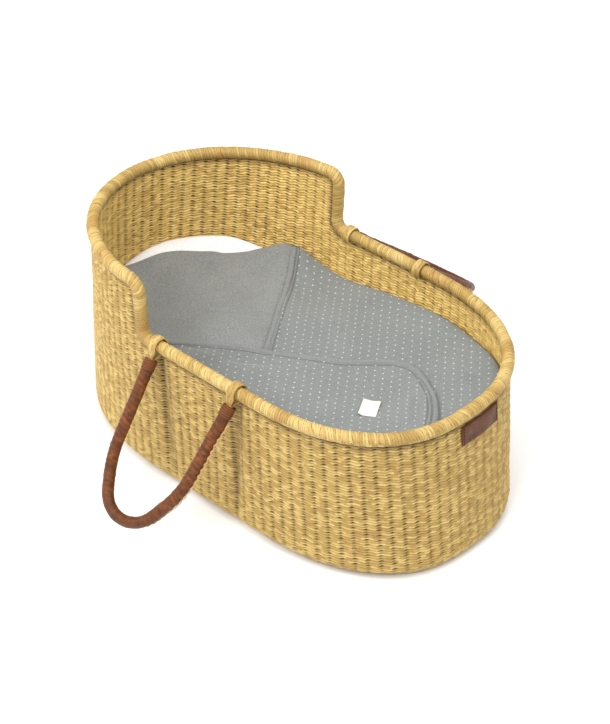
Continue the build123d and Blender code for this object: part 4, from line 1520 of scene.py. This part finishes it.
    def bound_edge(self, bed, corners, under, radius, away):
        """Soft rolled band sewn along a flap's free edge, beside the edge on the side that away gives."""
        plan = smooth_route(corners, self.BINDING_STEPS)
        plan = plan[bed.wall_gap(plan[:, 0], plan[:, 1]) > radius]
        ahead = unit(np.gradient(plan, axis=0))
        beside = np.column_stack([ahead[:, 1], -ahead[:, 0]])
        x, y = (plan + away * self.BINDING_ASIDE * radius * beside).T
        line = np.column_stack([x, y, under(x, y) + radius * 0.85])
        side = np.column_stack([beside, np.zeros(len(x))])
        up = np.broadcast_to((0.0, 0.0, 1.0), side.shape)
        angle = whole_turn(self.BINDING_AROUND)[:, None]
        wobble = 1 + 0.10 * smooth_noise((self.BINDING_AROUND, len(x)), (2, 60), 151)
        flat = np.sqrt((1.15 * np.cos(angle)) ** 2 + (0.9 * np.sin(angle)) ** 2)
        # Painted shade on the roll's underside
        shade = np.clip(self.BINDING_SHADE * (0.25 - np.sin(angle)), 0, 1) * np.ones(len(x))
        return tube_part(line, radius * flat * wobble, side, up, {"shade": shade})

    def label(self, top):
        """Blank cotton tape, sewn down along one end and curling at the other."""
        cotton = jersey_finish("label cotton", linear(206, 200, 184), linear(226, 221, 206), knit=1500.0)
        low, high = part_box("care_label")
        middle_x, middle_y = (low.x + high.x) / 2, (low.y + high.y) / 2
        turn = math.radians(self.LABEL_TURN)
        across, along = np.meshgrid(
            np.linspace(-self.LABEL_HALF_WIDTH, self.LABEL_HALF_WIDTH, 16),
            np.linspace(-self.LABEL_HALF_LENGTH, self.LABEL_HALF_LENGTH, 22))
        x = middle_x + across * math.cos(turn) - along * math.sin(turn)
        y = middle_y + across * math.sin(turn) + along * math.cos(turn)
        curl = self.LABEL_CURL * smooth_step(-across, 0.004, self.LABEL_HALF_WIDTH) ** 2 * (0.5 - 20 * along)
        ripple = self.LABEL_RIPPLE * np.sin(along / 0.010 + across / 0.02)
        laid = top(x, y)
        level = laid.max() * 0.35 + laid * 0.65 + self.LABEL_LIFT + curl + ripple
        upper, lower = (np.stack([x, y, z], -1) for z in (level, level - self.LABEL_THICKNESS))
        return solid_object("blank_cotton_label", [slab_part(upper, lower)], cotton)


class CoreFinish(bpy.types.Operator):
    """Gives the cane cores that are kept from the packed model their finish"""

    bl_idname = "basket.finish_cores"
    bl_label = "Cane cores"

    def execute(self, context):
        colours = context.scene.basket_colours
        f = Finish("bundled cane", roughness=0.7)
        streaks = f.noise(f.stretched(f.place(), (90.0, 900.0, 900.0)), 1.0, 4.0)
        tint = f.mix(f.ramp(streaks, 0.35, 0.65), tuple(colours.gap), tuple(colours.grass_tan))
        cane = f.wire(base_color=tint, normal=f.bump(streaks, 0.0006, 0.7))
        for node in ("rim_core", "front_handle_core", "back_handle_core"):
            for slot in bpy.data.objects[node].material_slots:
                slot.material = cane
        return {"FINISHED"}


# --------------------------------------------------------------------- stage


class Stage(bpy.types.Operator):
    """Sets the camera, the pale floor and the soft studio light"""

    bl_idname = "basket.set_stage"
    bl_label = "Floor, light and camera"

    AZIMUTH, ELEVATION, ROLL = 43.06, 36.0, 0.49
    DISTANCE, LENS = 3.156, 88.95
    TARGET = (0.0203, 0.0164, 0.1760)
    # Place, size in metres and power in watts of each lamp
    LAMPS = {
        "key light": ((-2.0, -2.4, 3.0), 2.0, 82),
        "front light": ((0.9, -2.9, 2.8), 1.6, 48),
        "foot light": ((2.4, -0.3, 3.0), 1.6, 22),
        "top light": ((0.5, -0.2, 3.4), 2.6, 70),
    }
    WORLD_STRENGTH, FLOOR_HALF = 0.72, 6.0

    def execute(self, context):
        scene = context.scene
        azimuth, elevation, roll = (math.radians(a) for a in (self.AZIMUTH, self.ELEVATION, self.ROLL))
        back = Vector((math.sin(azimuth) * math.cos(elevation), -math.cos(azimuth) * math.cos(elevation),
                       math.sin(elevation)))
        right = Vector((math.cos(azimuth), math.sin(azimuth), 0))
        up = back.cross(right)
        tilted_right = right * math.cos(roll) + up * math.sin(roll)
        tilted_up = up * math.cos(roll) - right * math.sin(roll)
        data = bpy.data.cameras.new("camera")
        data.lens = self.LENS
        data.clip_end = 50
        camera = bpy.data.objects.new("camera", data)
        turn = Matrix((tilted_right, tilted_up, back)).transposed().to_4x4()
        camera.matrix_world = Matrix.Translation(Vector(self.TARGET) + back * self.DISTANCE) @ turn
        scene.collection.objects.link(camera)
        scene.camera = camera

        self.floor()
        for name, lamp in self.LAMPS.items():
            self.lamp(name, *lamp)
        world = bpy.data.worlds.new("studio")
        world.use_nodes = True
        background = world.node_tree.nodes["Background"].inputs
        background["Color"].default_value = (1.0, 1.0, 1.0, 1.0)
        background["Strength"].default_value = self.WORLD_STRENGTH
        scene.world = world
        scene.view_settings.view_transform = "Standard"
        return {"FINISHED"}

    def floor(self):
        """The plain floor, which isn't part of the basket."""
        finish = Finish("pale floor", roughness=0.7)
        mottle = finish.noise(finish.place(), 3.0)
        finish.wire(base_color=finish.mix(mottle, (0.86, 0.86, 0.86), (0.90, 0.90, 0.90)))
        corners = self.FLOOR_HALF * np.array([(-1, -1, 0), (1, -1, 0), (1, 1, 0), (-1, 1, 0)], float)
        mesh_object("floor", corners, np.array([[0, 1, 2, 3]]), finish.material)

    def lamp(self, name, place, size, power):
        """A round soft lamp aimed at the basket."""
        data = bpy.data.lights.new(name, "AREA")
        data.shape = "DISK"
        data.size = size
        data.energy = power
        lamp = bpy.data.objects.new(name, data)
        lamp.location = place
        lamp.rotation_euler = (Vector(self.TARGET) - Vector(place)).to_track_quat("-Z", "Y").to_euler()
        bpy.context.scene.collection.objects.link(lamp)


OPERATORS = [
    Weaving, BaseWeaving, RimWinding, HandleCovering, HandleLoops, Lacing, LeatherTab, Underlay, Quilt,
    CoreFinish, Stage,
]


class BasketPanel(bpy.types.Panel):
    """Lists the settings and the steps of the basket"""

    bl_idname = "VIEW3D_PT_moses_basket"
    bl_label = "Moses basket"
    bl_space_type = "VIEW_3D"
    bl_region_type = "UI"
    bl_category = "Basket"

    def draw(self, context):
        column = self.layout.column()
        for name, group in SETTINGS.items():
            column.label(text=group.__doc__)
            for key in group.__annotations__:
                column.prop(getattr(context.scene, name), key)
        for operator in OPERATORS:
            column.operator(operator.bl_idname)


CLASSES = [*SETTINGS.values(), *OPERATORS, BasketPanel]


def register():
    for cls in CLASSES:
        bpy.utils.register_class(cls)
    for name, group in SETTINGS.items():
        setattr(bpy.types.Scene, name, PointerProperty(type=group))


def unregister():
    for name in SETTINGS:
        delattr(bpy.types.Scene, name)
    for cls in reversed(CLASSES):
        bpy.utils.unregister_class(cls)


def main():
    """Registers the classes and runs every step in order."""
    register()
    for operator in OPERATORS:
        group, name = operator.bl_idname.split(".")
        getattr(getattr(bpy.ops, group), name)()
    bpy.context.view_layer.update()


if __name__ == "__main__":
    main()
